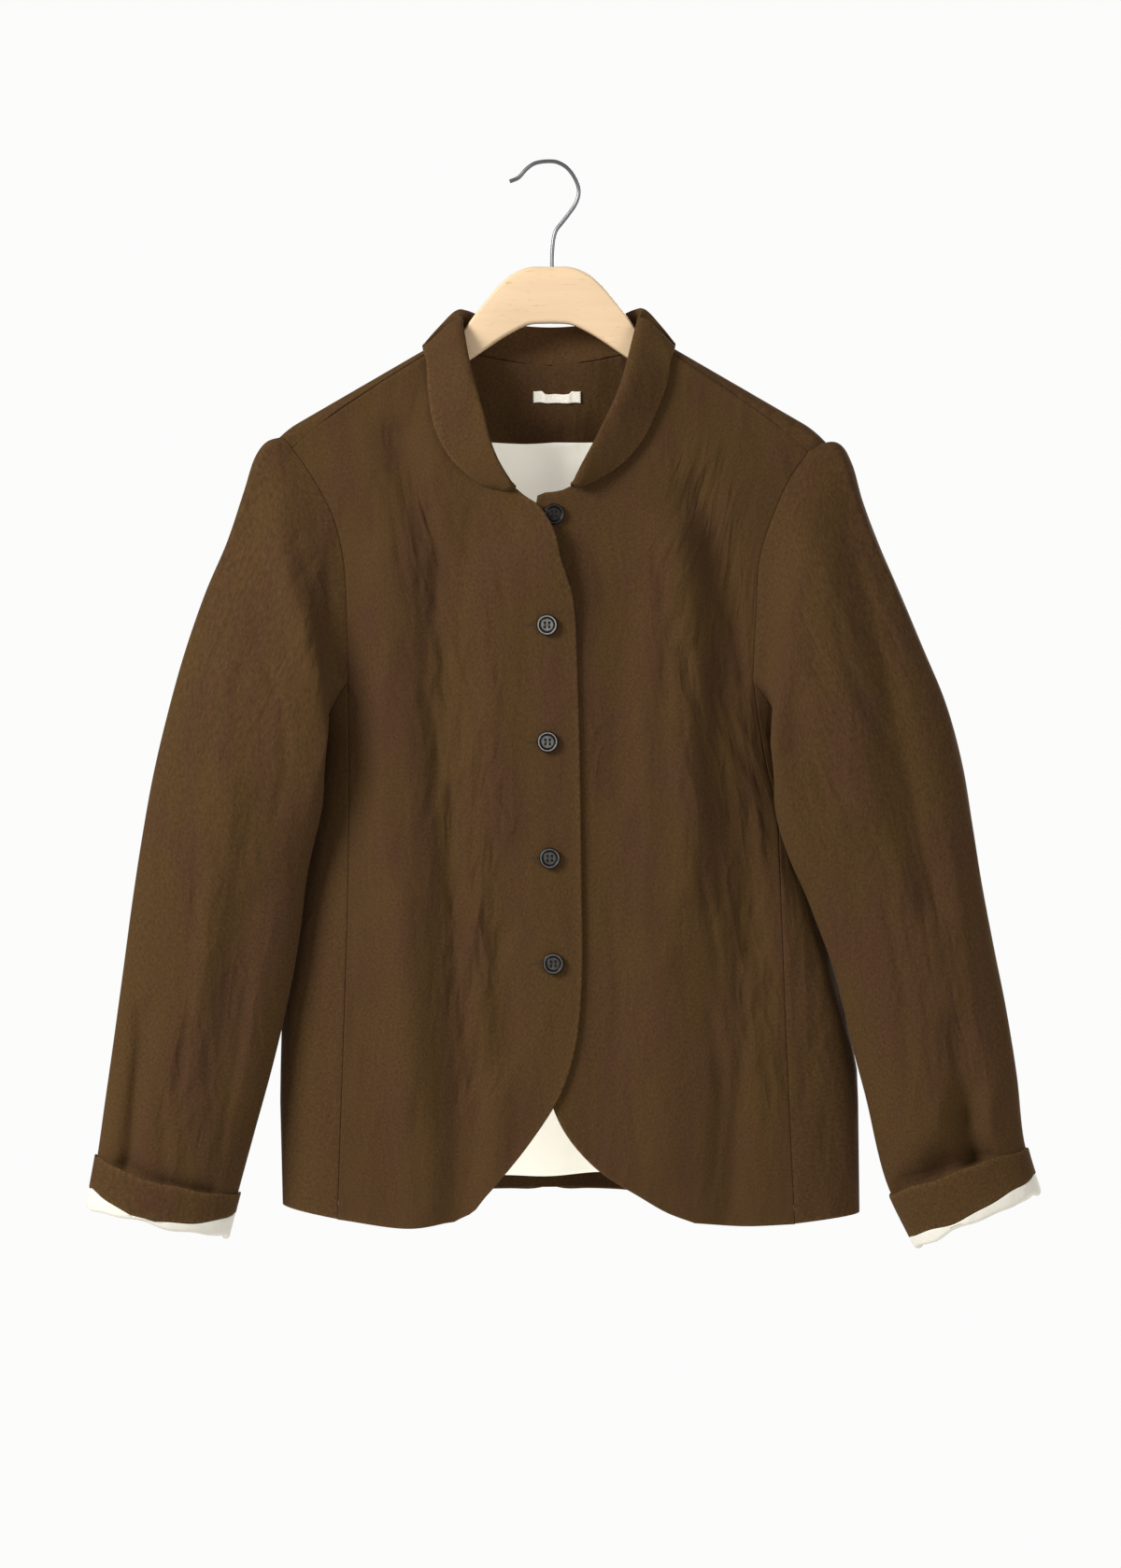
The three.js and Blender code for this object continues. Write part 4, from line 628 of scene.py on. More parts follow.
def crease_depth(creases, x, z):
    """Creases push the cloth up beside them, as a bend in cloth does."""
    depth = np.zeros(np.shape(x))
    for height, width, line in creases:
        away = (distance_to_line(x, z, line) / width) ** 2
        depth += height * (1 - 0.5 * away) * np.exp(-away)
    return depth


# The body's surface. A place on it is x and q: q is the way down the cloth from the shoulder
# fold, negative on the front and positive on the back.

ROUND_LENGTH = RIDGE_ROUND * math.pi / 2


def ridge_z(x):
    out = np.abs(x) - NECK_HALF
    drop = SHOULDER_DROP * np.maximum(0, out - SHOULDER_DROP_START) ** 2
    return np.where(out < 0, NECK_Z - NECK_RISE * out, NECK_Z - SHOULDER_SLOPE * out - drop)


def drop_of(q):
    way = np.abs(q)
    bent = RIDGE_ROUND * (1 - np.cos(np.minimum(way, ROUND_LENGTH) / RIDGE_ROUND))
    return np.where(way < ROUND_LENGTH, bent, RIDGE_ROUND + way - ROUND_LENGTH)


def way_of(drop):
    bent = RIDGE_ROUND * np.arccos(np.clip(1 - drop / RIDGE_ROUND, -1, 1))
    return np.where(drop < RIDGE_ROUND, bent, ROUND_LENGTH + drop - RIDGE_ROUND)


def body_edge(x, z):
    right, left = at_height(BODY_EDGE, z, "right"), at_height(BODY_EDGE, z, "left")
    return np.where(np.asarray(x) < 0, right, left)


def wall_depth(x, z, front):
    drop = np.maximum(0, ridge_z(x) - z)
    below = np.maximum(0, drop - RIDGE_ROUND)
    angle = np.arccos(np.clip(1 - drop / RIDGE_ROUND, 0, 1))
    share = np.minimum(1, np.abs(x) / body_edge(x, z))
    side = (1 - share**SIDE_POWER) ** (1 / SIDE_POWER)
    hold = smoothstep(drop / SIDE_BLEND)
    rounded = RIDGE_ROUND * np.sin(angle) * lerp(1, side, hold)
    swell = (1 - np.exp(-below / SWELL_LENGTH)) * (1 - np.exp(-below / SWELL_START))
    fold = fold_depth(FRONT_FOLDS if front else BACK_FOLDS, x, z)
    fold = fold + crease_depth(FRONT_CREASES if front else BACK_CREASES, x, z)
    fold = fold * side * smoothstep((drop - RIDGE_ROUND) / FOLD_START)
    return rounded + (FRONT_SWELL if front else BACK_SWELL) * swell * side - fold


def front_points(x, z):
    return np.stack([x, -wall_depth(x, z, True), z], -1)


def back_points(x, z):
    return np.stack([x, wall_depth(x, z, False), z], -1)


def body_points(x, q):
    z = ridge_z(x) - drop_of(q)
    return np.where((q < 0)[..., None], front_points(x, z), back_points(x, z))


def on_front(x, z, side):
    """The fronts part where they overlap, and the right one's top corner stands off a button."""
    points = front_points(x, z)
    near = 1 - smoothstep((np.abs(x) - OVERLAP_HALF) / OVERLAP_FADE)
    points[..., 1] += side * OVERLAP_STEP[side] * near
    if side == RIGHT:
        away = np.hypot(x - CORNER_LIFT["x"], z - CORNER_LIFT["z"]) / CORNER_LIFT["reach"]
        points[..., 1] -= CORNER_LIFT["height"] * np.exp(-(away**2))
    return points


# Outlines of the panels, as (x, z) in the front view or (x, -q) in the cloth


def side_seam_x(side, wall, z):
    return side * at_height(SIDE_SEAM, z, f"{wall}_{SIDE_NAMES[side]}")


def seam_shares(rows):
    """Shares of the side seam at its rows: even, with a short last one for the hem facing."""
    rows = np.asarray(rows, float)
    even = rows / (SEAM_ROWS - 1) * (1 - HEM_FACING_SHARE)
    last = lerp(1 - HEM_FACING_SHARE, 1, rows - SEAM_ROWS + 1)
    return np.where(rows <= SEAM_ROWS - 1, even, last)


def side_seam(side, wall):
    z = lerp(SIDE_SEAM["z"][0], HEM[side][wall], seam_shares(range(SEAM_ROWS + 1)))
    return np.stack([side_seam_x(side, wall, z), z], -1)


def shoulder_seam(side, cells):
    x = np.linspace(SHOULDER_SEAM["x"][-1], SHOULDER_SEAM["x"][0], cells + 1)
    drop = np.interp(x, SHOULDER_SEAM["x"], SHOULDER_SEAM[SIDE_NAMES[side]])
    return np.stack([side * x, ridge_z(x) - drop], -1)


def signed(rows, side):
    return np.array(rows, float) * (side, 1)


def shares(line):
    way = lengths(line)
    return way / way[-1]


def coons(top, bottom, first, last):
    """A patch between four outlines in the flat."""
    v = ((shares(first) + shares(last)) / 2)[:, None, None]
    u = np.linspace(0, 1, len(top))[None, :, None]
    ruled = (1 - v) * top[None] + v * bottom[None] + (1 - u) * first[:, None] + u * last[:, None]
    corners = (1 - u) * (1 - v) * top[0] + u * (1 - v) * top[-1] + (1 - u) * v * bottom[0]
    return ruled - corners - u * v * bottom[-1]


def front_panel(side):
    top = shoulder_seam(side, FRONT_COLUMNS * FINE)
    armhole = spaced(np.vstack([top[:1], signed(ARMHOLE_FRONT[side], side)]), ARMHOLE_ROWS * FINE)
    outer = np.vstack([armhole, refined(side_seam(side, "front"))[1:]])
    neck = spaced(np.vstack([top[-1:], NECKLINE[side]]), NECKLINE_ROWS * FINE)
    edge = spaced(FRONT_EDGE[side], (FRONT_ROWS - NECKLINE_ROWS) * FINE)
    inner = np.vstack([neck, edge[1:]])
    hem = spaced(FRONT_HEM[side], FRONT_COLUMNS * FINE)[::-1]
    flat = coons(top, hem, outer, inner)
    points = on_front(flat[..., 0], flat[..., 1], side)
    return points if side == RIGHT else points[:, ::-1]


def in_cloth(points, front):
    points = np.asarray(points, float)
    way = way_of(ridge_z(points[:, 0]) - points[:, 1])
    return np.stack([points[:, 0], way if front else -way], -1)


def back_armhole(side):
    seam_end = in_cloth(shoulder_seam(side, 1)[:1], True)[0]
    wrap = [(side * SHOULDER_POINT[side], -way) for way in WRAP_WAYS]
    wrap.insert(0, tuple(lerp(seam_end, np.array(wrap[0]), 0.5)))
    lower = in_cloth(signed(ARMHOLE_BACK[side], side), False)
    rest = spaced(np.vstack([wrap[-1:], lower]), BACK_ARMHOLE_ROWS - WRAP_ROWS)
    return np.vstack([seam_end[None], wrap, rest[1:]])


def wrap_row(top, number, left, right):
    """One of the rows that cross the shoulders along the fold, and run below the neck seam."""
    last = BACK_COLUMNS - SHOULDER_COLUMNS
    row = []
    for j, start in enumerate(top):
        out = max(SHOULDER_COLUMNS - j, j - last)
        if out >= 0:
            neck_end = top[SHOULDER_COLUMNS if j <= SHOULDER_COLUMNS else last]
            arm_end = left if j <= SHOULDER_COLUMNS else right
            x = lerp(neck_end[0], arm_end[0], out / SHOULDER_COLUMNS)
            row.append((x, start[1] / 2 if number == 1 else arm_end[1]))
        else:
            way = max(WRAP_WAYS[-1], -start[1] + min(WRAP_REACH, -out * WRAP_STEP))
            row.append((start[0], lerp(start[1], -way, number / WRAP_ROWS)))
    return np.array(row)


def back_hem():
    last = BACK_COLUMNS - SHOULDER_COLUMNS
    left = side_seam_x(LEFT, "back", HEM[LEFT]["back"])
    right = side_seam_x(RIGHT, "back", HEM[RIGHT]["back"])
    places = (0, SHOULDER_COLUMNS, last, BACK_COLUMNS)
    distances = (left, BACK_HEM_SPREAD[LEFT], BACK_HEM_SPREAD[RIGHT], right)
    x = np.interp(range(BACK_COLUMNS + 1), places, distances)
    bow = 1 - (x / np.where(x < 0, right, left)) ** 2
    corner = np.where(x < 0, HEM[RIGHT]["back"], HEM[LEFT]["back"])
    return np.stack([x, lerp(corner, BACK_HEM_CENTRE, bow)], -1)


def back_panel():
    corners = (SHOULDER_COLUMNS, BACK_COLUMNS - SHOULDER_COLUMNS)
    left, right = [
        np.vstack([back_armhole(side), in_cloth(side_seam(side, "back")[1:], False)])
        for side in (LEFT, RIGHT)
    ]
    half = np.vstack([[(NECK_FOLD_X, 0)], in_cloth(NECKLINE_BACK, False)])
    mirrored = half[:-1][::-1] * (-1, 1)
    first, last = [
        in_cloth(shoulder_seam(side, SHOULDER_COLUMNS), True) for side in (LEFT, RIGHT)
    ]
    top = np.vstack([first, half, mirrored, last[::-1]])
    rows = [top] + [wrap_row(top, i, left[i], right[i]) for i in range(1, WRAP_ROWS + 1)]
    rows = [refined(row, corners) for row in rows]
    wrapped = [lerp(a, b, k / FINE) for a, b in zip(rows, rows[1:]) for k in range(FINE)]
    turn = (BACK_ARMHOLE_ROWS - WRAP_ROWS,)
    lower = coons(
        rows[-1],
        refined(in_cloth(back_hem(), False), corners),
        refined(left[WRAP_ROWS:], turn),
        refined(right[WRAP_ROWS:], turn),
    )
    flat = np.concatenate([wrapped, lower])
    return body_points(flat[..., 0], -flat[..., 1])


def side_panel(side):
    """A side panel wraps round the body's edge, from its back seam to its front one."""
    half = SIDE_COLUMNS * FINE // 2
    rows = []
    for down in seam_shares(np.arange(SEAM_ROWS * FINE + 1) / FINE):
        row = []
        for j in range(-half, half + 1):
            wall = "back" if j < 0 else "front"
            share = abs(j) / half
            top = SIDE_SEAM["z"][0] - UNDERARM_DROP * (1 - share**UNDERARM_CURVE)
            bottom = lerp(HEM[side]["edge"], HEM[side][wall], share**SIDE_HEM_CURVE)
            z = lerp(top, bottom, down)
            edge = float(body_edge(side, z))
            seam = refined_seam(side, wall, z)
            turn = math.acos((seam / edge) ** (SIDE_POWER / 2)) * share
            row.append((side * edge * math.cos(turn) ** (2 / SIDE_POWER), z, wall == "front"))
        rows.append(row)
    flat = np.array(rows, float)
    x, z, front = flat[..., 0], flat[..., 1], flat[..., 2] > 0
    points = np.where(front[..., None], front_points(x, z), back_points(x, z))
    return points if side == RIGHT else points[:, ::-1]


SEAM_LINES = {}


def refined_seam(side, wall, z):
    """Distance of a side seam from the centre line, on the same smooth line as its panels."""
    if (side, wall) not in SEAM_LINES:
        SEAM_LINES[side, wall] = refined(side_seam(side, wall))
    line = SEAM_LINES[side, wall]
    return abs(float(np.interp(-z, -line[:, 1], line[:, 0])))


# Sleeves


def armhole_loop(side, front, panel, back):
    """The armhole from the shoulder seam down the front, under the arm and up the back."""
    down = front[: ARMHOLE_ROWS * FINE + 1, 0 if side == RIGHT else -1]
    under = panel[0][::-1] if side == RIGHT else panel[0]
    up = back[1 : BACK_ARMHOLE_ROWS * FINE, -1 if side == RIGHT else 0][::-1]
    return np.vstack([down, under[1:], up])


def loop_turns(loop):
    """The turn of each loop point round the sleeve: 0 at the shoulder fold, pi under the arm."""
    under = (ARMHOLE_ROWS + SIDE_COLUMNS // 2) * FINE
    fold = len(loop) - 2 * FINE
    way = lengths(np.vstack([loop, loop[:1]]))
    total = way[-1]
    way = way[:-1]
    front_way = total - way[fold] + way[under]
    index = np.arange(len(loop))
    from_fold = np.where(index >= fold, way - way[fold], way + total - way[fold])
    behind = math.pi * (1 + (way - way[under]) / (way[fold] - way[under]))
    turns = np.where((index > under) & (index < fold), behind, math.pi * from_fold / front_way)
    return turns, fold, under


def section_points(section, side, turns):
    inner = (1 - np.cos(turns)) / 2
    bulge = np.sin(turns) * np.where(np.sin(turns) > 0, section["front"], section["back"])
    return np.stack(
        [
            side * lerp(section["outer_x"], section["inner_x"], inner),
            lerp(section["outer_y"], section["inner_y"], inner) - bulge,
            lerp(section["outer_z"], section["inner_z"], inner) - section["dip"] * np.sin(turns),
        ],
        -1,
    )


def beside_body(points, side, turns):
    """Keeps a sleeve off the body: its front half passes before it, its back half beside it."""
    x, y, z = points[..., 0], points[..., 1], points[..., 2]
    near = smoothstep((SLEEVE_REST_Z - z) / SLEEVE_REST_FADE)
    edge = body_edge(np.full(z.shape, side), z) + SLEEVE_CLEAR * near
    out = np.abs(x)
    ahead = np.broadcast_to(np.sin(turns) > AHEAD, z.shape)
    rest = -wall_depth(x, z, True) - SLEEVE_CLEAR * near
    points[..., 1] = np.where((near > 0) & ahead & (out < edge), np.minimum(y, rest), y)
    middle = np.zeros_like(z)
    depth = np.where(y < 0, wall_depth(middle, z, True), wall_depth(middle, z, False))
    depth = depth + SLEEVE_CLEAR * near
    share = np.minimum(1, np.abs(y) / depth)
    beside = edge * (1 - share**SIDE_POWER) ** (1 / SIDE_POWER)
    points[..., 0] = np.where((near > 0) & ~ahead, side * np.maximum(out, beside), x)
    return points


def sleeve_grid(side, loop):
    turns, fold, under = loop_turns(loop)
    start = {
        "outer_x": abs(loop[fold][0]), "outer_z": loop[fold][2], "outer_y": loop[fold][1],
        "inner_x": abs(loop[under][0]), "inner_z": loop[under][2], "inner_y": loop[under][1],
        "front": ARMHOLE_BULGE, "back": ARMHOLE_BULGE, "dip": 0,
    }
    own = loop - section_points(start, side, turns)
    rings = [loop]
    for i in range(len(SLEEVE[side]["keep"])):
        section = {name: values[i] for name, values in SLEEVE[side].items()}
        ring = section_points(section, side, turns) + own * section["keep"]
        rings.append(beside_body(ring, side, turns))
    grid = smooth(np.array(rings), SLEEVE_FINE)
    x, z = grid[..., 0], grid[..., 2]
    ahead = np.maximum(0, np.sin(turns))
    behind = np.maximum(0, -np.sin(turns))
    depth = fold_depth(SLEEVE_FOLDS, x, z) + crease_depth(SLEEVE_CREASES, x, z)
    from_seam = smoothstep(lengths(grid) / SLEEVE_FOLD_START)
    grid[..., 1] += depth * ahead * from_seam
    grid[..., 1] -= crease_depth(SLEEVE_BACK_CREASES, x, z) * behind * from_seam
    grid[1:] = beside_body(grid[1:], side, turns)
    ease_underarm(grid, turns)
    return grid if side == RIGHT else np.roll(grid[:, ::-1], 1, axis=1)


def ease_underarm(grid, turns):
    """Evens out the back of the sleeve under the arm, where it turns off the body."""
    start, end, fade = UNDERARM_TURNS
    from_under = turns - math.pi
    round_arm = smoothstep(from_under / start) * (1 - smoothstep((from_under - end) / fade))
    down_arm = 1 - smoothstep((lengths(grid) - UNDERARM_EASED) / UNDERARM_FADE)
    share = (round_arm * down_arm)[1:-1, :, None]
    for _ in range(UNDERARM_PASSES):
        beside = np.roll(grid, 1, axis=1)[1:-1] + np.roll(grid, -1, axis=1)[1:-1]
        mean = (beside + grid[2:] + grid[:-2]) / 4
        grid[1:-1] = lerp(grid[1:-1], mean, share)


def sleeve_end(grid, distances):
    """The sleeve's surface this far above its turned end, one row for each list of distances."""
    up = grid[::-1]
    way = lengths(up)
    rows = np.empty((len(distances), grid.shape[1], 3))
    for j in range(grid.shape[1]):
        wanted = [np.broadcast_to(row, grid.shape[1:2])[j] for row in distances]
        for k in range(3):
            rows[:, j, k] = np.interp(wanted, way[:, j], up[:, j, k])
    return rows


def curve_through(values, across):
    """A curve that takes the three values at -1, 0 and 1."""
    first, middle, last = values
    return middle + (last - first) / 2 * across + ((last + first) / 2 - middle) * across**2


def cuff_heights(ring, side):
    """The cream edge that shows below the band, the band's height, and the ripple of the end."""
    across = side * (ring[:, 0] - ring[:, 0].mean()) / CUFF_HALF_WIDTH
    turns = np.linspace(0, 2 * math.pi, len(ring), endpoint=False)
    ripple = sum(high * np.sin(waves * turns + start) for waves, start, high in END_RIPPLE)
    shown = curve_through(CUFF_REVEAL[side], across) + RIPPLE_SHARE * ripple
    reveal = np.maximum(LEAST_REVEAL, shown)
    return reveal, curve_through(CUFF_BAND[side], across), ripple


def over_cuff(grid, side):
    """The sleeve's cloth above the band sinks into folds that end behind it."""
    reveal, tall, _ = cuff_heights(grid[-1], side)
    from_end = lengths(grid[::-1])[::-1]
    ahead = np.clip(-grid_normals(grid, True)[..., 1], 0, 1)
    clear = smoothstep((from_end - reveal - tall + CUFF_FOLD_START) / CUFF_FOLD_FADE)
    folded = grid.copy()
    folded[..., 1] += fold_depth(CUFF_FOLDS, grid[..., 0], grid[..., 2]) * ahead * clear
    return folded


def cuff_grids(grid, folded, side):
    base = sleeve_end(grid, (CUFF_LINING_UP, CUFF_LINING_UP / 2, 0))
    normals = grid_normals(base, True)
    ring, normal = base[-1], normals[-1]
    reveal, tall, ripple = cuff_heights(ring, side)
    rows = np.linspace(1, 0, CUFF_ROWS)
    band = sleeve_end(grid, [reveal + tall * row for row in rows]) + normal * CUFF_LAYER
    down = unit(ring - base[1])
    ring = ring + down * ripple[:, None]
    turned = [
        ring + normal * CUFF_LAYER * math.cos(angle) + down * CUFF_LAYER * math.sin(angle)
        for angle in np.linspace(0, math.pi, CUFF_ROWS)
    ]
    outside = sleeve_end(grid, [(reveal - CUFF_GAP) * row for row in CUFF_OUTSIDE])
    outside = outside + normal * CUFF_LAYER
    up = np.linspace(0, CUFF_LINING_UP, CUFF_LINING_ROWS + 1)[1:]
    inside = sleeve_end(folded, up) - normal * CUFF_LAYER
    return band, np.concatenate([outside, turned, inside])


# Collar


def collar_grid(left, back, right):
    ends = FINE * NECKLINE_ROWS
    nape = slice((SHOULDER_COLUMNS + 1) * FINE, (SHOULDER_COLUMNS + NECK_COLUMNS - 1) * FINE + 1)
    seam = np.vstack([left[: ends + 1, 0][::-1], back[0, nape], right[: ends + 1, -1]])
    stations = smooth(np.array([*COLLAR[LEFT], *COLLAR[RIGHT][::-1][1:]], float), FINE)
    seam = np.vstack([seam[: ends + 1], bridge(seam[ends], seam[ends + 1]), seam[ends + 1 :]])
    between = bridge(seam[-ends - 2], seam[-ends - 1])
    seam = np.vstack([seam[: -ends - 1], between, seam[-ends - 1 :]])
    roll = stations[:, :3]
    from_end = np.minimum(np.arange(len(stations)), np.arange(len(stations))[::-1])
    clear = lerp(COLLAR_END_CLEAR, COLLAR_CLEAR, smoothstep(from_end / (2 * FINE)))
    edge = fall_edge(stations[:, 3], stations[:, 4], from_end <= ends, clear[:, None])
    up = unit(roll - seam)
    out = edge - seam
    out = unit(out - up * np.sum(out * up, -1, keepdims=True))
    reach = np.linalg.norm(roll - seam, axis=-1, keepdims=True)
    half = np.minimum(COLLAR_FOLD, reach * COLLAR_FOLD_SHARE)
    neck = roll - up * half
    crest = roll + out * half
    shoulder = crest + out * half - up * half
    middle = lerp(edge, shoulder, 0.5) + out * half * COLLAR_ROLL
    stand = lerp(neck, seam, 0.5)
    rows = np.array([edge, middle, shoulder, crest, neck, stand, seam + up * COLLAR_LIFT])
    return smooth(rows, COLLAR_FINE)


def bridge(a, b):
    return [lerp(a, b, k / FINE) for k in range(1, FINE)]


def fall_edge(x, z, front, clear):
    """The edge of the fall rests just clear of the body below it."""
    way = way_of(ridge_z(x) - z) * np.where(front, -1, 1)
    place = body_points(x, way)
    across = body_points(x + 1, way) - body_points(x - 1, way)
    down = body_points(x, way + 1) - body_points(x, way - 1)
    return place + unit(np.cross(across, down)) * (CLOTH + clear)


# Walls of cloth. A grid's rows run down or up the piece and its columns to the right as seen
# from outside, so that its outer face looks outwards.


def grid_normals(grid, closed=False):
    down = np.empty_like(grid)
    down[1:-1] = grid[2:] - grid[:-2]
    down[0], down[-1] = grid[1] - grid[0], grid[-1] - grid[-2]
    across = np.roll(grid, -1, axis=1) - np.roll(grid, 1, axis=1)
    if not closed:
        across[:, 0], across[:, -1] = grid[:, 1] - grid[:, 0], grid[:, -1] - grid[:, -2]
    return unit(np.cross(down, across))


def rim_loops(height, width, closed):
    """The grid's open edges as loops of (row, column), clockwise as seen from outside."""
    columns = range(width)
    if closed:
        return [[(0, j) for j in columns], [(height - 1, j) for j in reversed(columns)]]
    top = [(0, j) for j in range(width - 1)]
    right = [(i, width - 1) for i in range(height - 1)]
    bottom = [(height - 1, j) for j in range(width - 1, 0, -1)]
    left = [(i, 0) for i in range(height - 1, 0, -1)]
    return [top + right + bottom + left]


def shell_mesh(name, grid, thickness, closed=False, gap=SEAM_GAP, swell=None, worn=()):
    """A wall of cloth with rounded edges, its edges parted from its neighbours by the gap."""
    grid = grid.copy()
    normals = grid_normals(grid, closed)
    height, width = grid.shape[:2]
    loops = rim_loops(height, width, closed)
    half = np.full((height, width, 1), thickness / 2)
    if swell is not None:
        half += swell[..., None] / 2
    outward = {}
    for loop in loops:
        for i, j in loop:
            inner_i = min(max(i, 1), height - 2)
            inner_j = j if closed else min(max(j, 1), width - 2)
            own = grid[i, j]
            outward[i, j] = unit(own - grid[inner_i, j]) + unit(own - grid[i, inner_j])
    for (i, j), out in outward.items():
        grid[i, j] -= out * (thickness / 2 + gap / 2)
    vertices = [(grid + normals * half).reshape(-1, 3), (grid - normals * half).reshape(-1, 3)]
    index = np.arange(height * width).reshape(height, width)
    if closed:
        index = np.hstack([index, index[:, :1]])
    a, b, c, d = index[:-1, :-1], index[1:, :-1], index[1:, 1:], index[:-1, 1:]
    outer = np.stack([a, b, c, d], -1).reshape(-1, 4)
    inner = np.stack([a, d, c, b], -1).reshape(-1, 4) + height * width
    faces = [outer, inner]
    count = 2 * height * width
    for loop in loops:
        rows, columns = np.array(loop).T
        rings = [index[rows, columns]]
        out = np.array([outward[place] for place in loop])
        for step in range(1, RIM_STEPS):
            angle = math.pi * step / RIM_STEPS
            side = normals[rows, columns] * math.cos(angle) + out * math.sin(angle)
            vertices.append(grid[rows, columns] + side * half[rows, columns])
            rings.append(np.arange(count, count + len(loop)))
            count += len(loop)
        rings.append(rings[0] + height * width)
        for ring, following in zip(rings, rings[1:]):
            strip = np.stack([ring, np.roll(ring, -1), np.roll(following, -1), following], -1)
            faces.append(strip)
    mesh = bpy.data.meshes.new(name)
    vertices = np.vstack(vertices)
    mesh.from_pydata((vertices * MM).tolist(), [], np.vstack(faces).tolist())
    mesh.shade_smooth()
    add_cloth_map(mesh, grid, closed, loops)
    add_edge_wear(mesh, grid, worn, loops)
    crumpled = fold_depth(CRUMPLES, grid[..., 0], grid[..., 2])
    add_vertex_values(mesh, "crumple", on_all_faces(crumpled, loops))
    return mesh


def add_edge_wear(mesh, grid, worn, loops):
    """Writes how worn the cloth is at each point: fully on its free edges, and less inside them."""
    down = lengths(grid)
    across = lengths(grid.transpose(1, 0, 2)).T
    away = {
        "top": down, "bottom": down[-1] - down, "first": across, "last": across[:, -1:] - across,
    }
    from_edge = np.full(grid.shape[:2], 1e3)
    for edge in worn:
        from_edge = np.minimum(from_edge, away[edge])
    add_vertex_values(mesh, "wear", on_all_faces(np.exp(-from_edge / EDGE_WEAR), loops))


def on_all_faces(values, loops):
    """A grid's values in the order of a wall's points: outside, inside and the rims."""
    face = values.reshape(-1, *values.shape[2:])
    rims = [values[tuple(np.array(loop).T)] for loop in loops for _ in range(RIM_STEPS - 1)]
    return np.concatenate([face, face, *rims])


def add_vertex_values(mesh, name, values):
    layer = mesh.attributes.new(name, "FLOAT", "POINT")
    layer.data.foreach_set("value", np.asarray(values, np.float32))


def add_cloth_map(mesh, grid, closed, loops):
    """A map in metres along and across the cloth, so that its threads keep their size."""
    height, width = grid.shape[:2]
    middle = grid[height // 2]
    across = lengths(middle)
    down = lengths(grid[:, width // 2])
    places = np.stack(np.broadcast_arrays(across[None, :], down[:, None]), -1)
    places = on_all_faces(places, loops) * MM
    layer = mesh.uv_layers.new(name="cloth")
    order = np.empty(len(mesh.loops), int)
    mesh.loops.foreach_get("vertex_index", order)
    places = places[order].reshape(-1, 4, 2)
    if closed:
        girth = (across[-1] + np.linalg.norm(middle[0] - middle[-1])) * MM
        u = places[..., 0]
        meets = np.ptp(u, axis=1, keepdims=True) > girth / 2
        places[..., 0] = np.where(meets & (u < girth / 2), u + girth, u)
    layer.data.foreach_set("uv", places.ravel())


def new_object(name, data):
    made = bpy.data.objects.new(name, data)
    bpy.context.collection.objects.link(made)
    return made


def finished_mesh(source):
    """The mesh that an object shows, with its curve's thickness or its cuts."""
    depsgraph = bpy.context.evaluated_depsgraph_get()
    return bpy.data.meshes.new_from_object(source.evaluated_get(depsgraph))


def tube_mesh(name, grid, flipped=False):
    """Rings of points as a closed skin, with a flat face at each end."""
    rows, columns = grid.shape[:2]
    index = np.arange(rows * columns).reshape(rows, columns)
    first, last = index[0], index[-1][::-1]
    index = np.hstack([index, index[:, :1]])
    a, b, c, d = index[:-1, :-1], index[1:, :-1], index[1:, 1:], index[:-1, 1:]
    if flipped:
        b, d, first, last = d, b, first[::-1], last[::-1]
    faces = np.stack([a, b, c, d], -1).reshape(-1, 4).tolist()
    mesh = bpy.data.meshes.new(name)
    ends = [first.tolist(), last.tolist()]
    mesh.from_pydata((grid.reshape(-1, 3) * MM).tolist(), [], faces + ends)
    mesh.shade_smooth()
    return mesh


def add_object(name, mesh, material, node):
    piece = new_object(name, mesh)
    mesh.materials.append(material)
    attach(piece, BODY)
    if node:
        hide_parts(node)
    return piece


def add_sheet(node, grid, thickness, material, slot, **options):
    mesh = shell_mesh(node + "_cloth", grid, thickness, **options)
    piece = add_object(node + "_cloth", mesh, material, node)
    return piece


# Materials. The scale of a texture says how many of its cells there are in a metre.


def feed(tree, socket, value):
    """Gives a socket a plain value, or links it to another node."""
    if isinstance(value, (int, float, tuple)):
        socket.default_value = value
    else:
        tree.links.new(value, socket)


def new_node(tree, kind, inputs, **settings):
    node = tree.nodes.new("ShaderNode" + kind)
    for name, value in settings.items():
        setattr(node, name, value)
    for key, value in inputs.items():
        feed(tree, node.inputs[key], value)
    return node


def new_material(name):
    material = bpy.data.materials.new(name)
    material.use_nodes = True
    material.node_tree.nodes.clear()
    return material, material.node_tree


def surface(tree, inputs, bumps=()):
    """The shader, with bumps laid on each other: height in metres, strength and texture."""
    below = {}
    for distance, strength, texture in bumps:
        raised = {"Distance": distance, "Strength": strength, "Height": texture, **below}
        below = {"Normal": new_node(tree, "Bump", raised).outputs["Normal"]}
    shader = new_node(tree, "BsdfPrincipled", {**inputs, **below})
    new_node(tree, "OutputMaterial", {"Surface": shader.outputs["BSDF"]})


def coordinates(tree, source, scale, turn=0):
    vector = new_node(tree, "TexCoord", {}).outputs[source]
    inputs = {"Vector": vector, "Scale": scale, "Rotation": (0, 0, turn)}
    return new_node(tree, "Mapping", inputs).outputs["Vector"]


def noise(tree, source, scale, turn=0, fine=1, detail=3, rough=0.5, distortion=0, flat=False):
    inputs = {
        "Vector": coordinates(tree, source, scale, turn), "Scale": fine, "Detail": detail,
        "Roughness": rough, "Distortion": distortion,
    }
    texture = new_node(tree, "TexNoise", inputs, noise_dimensions="2D" if flat else "3D")
    return texture.outputs["Fac"]


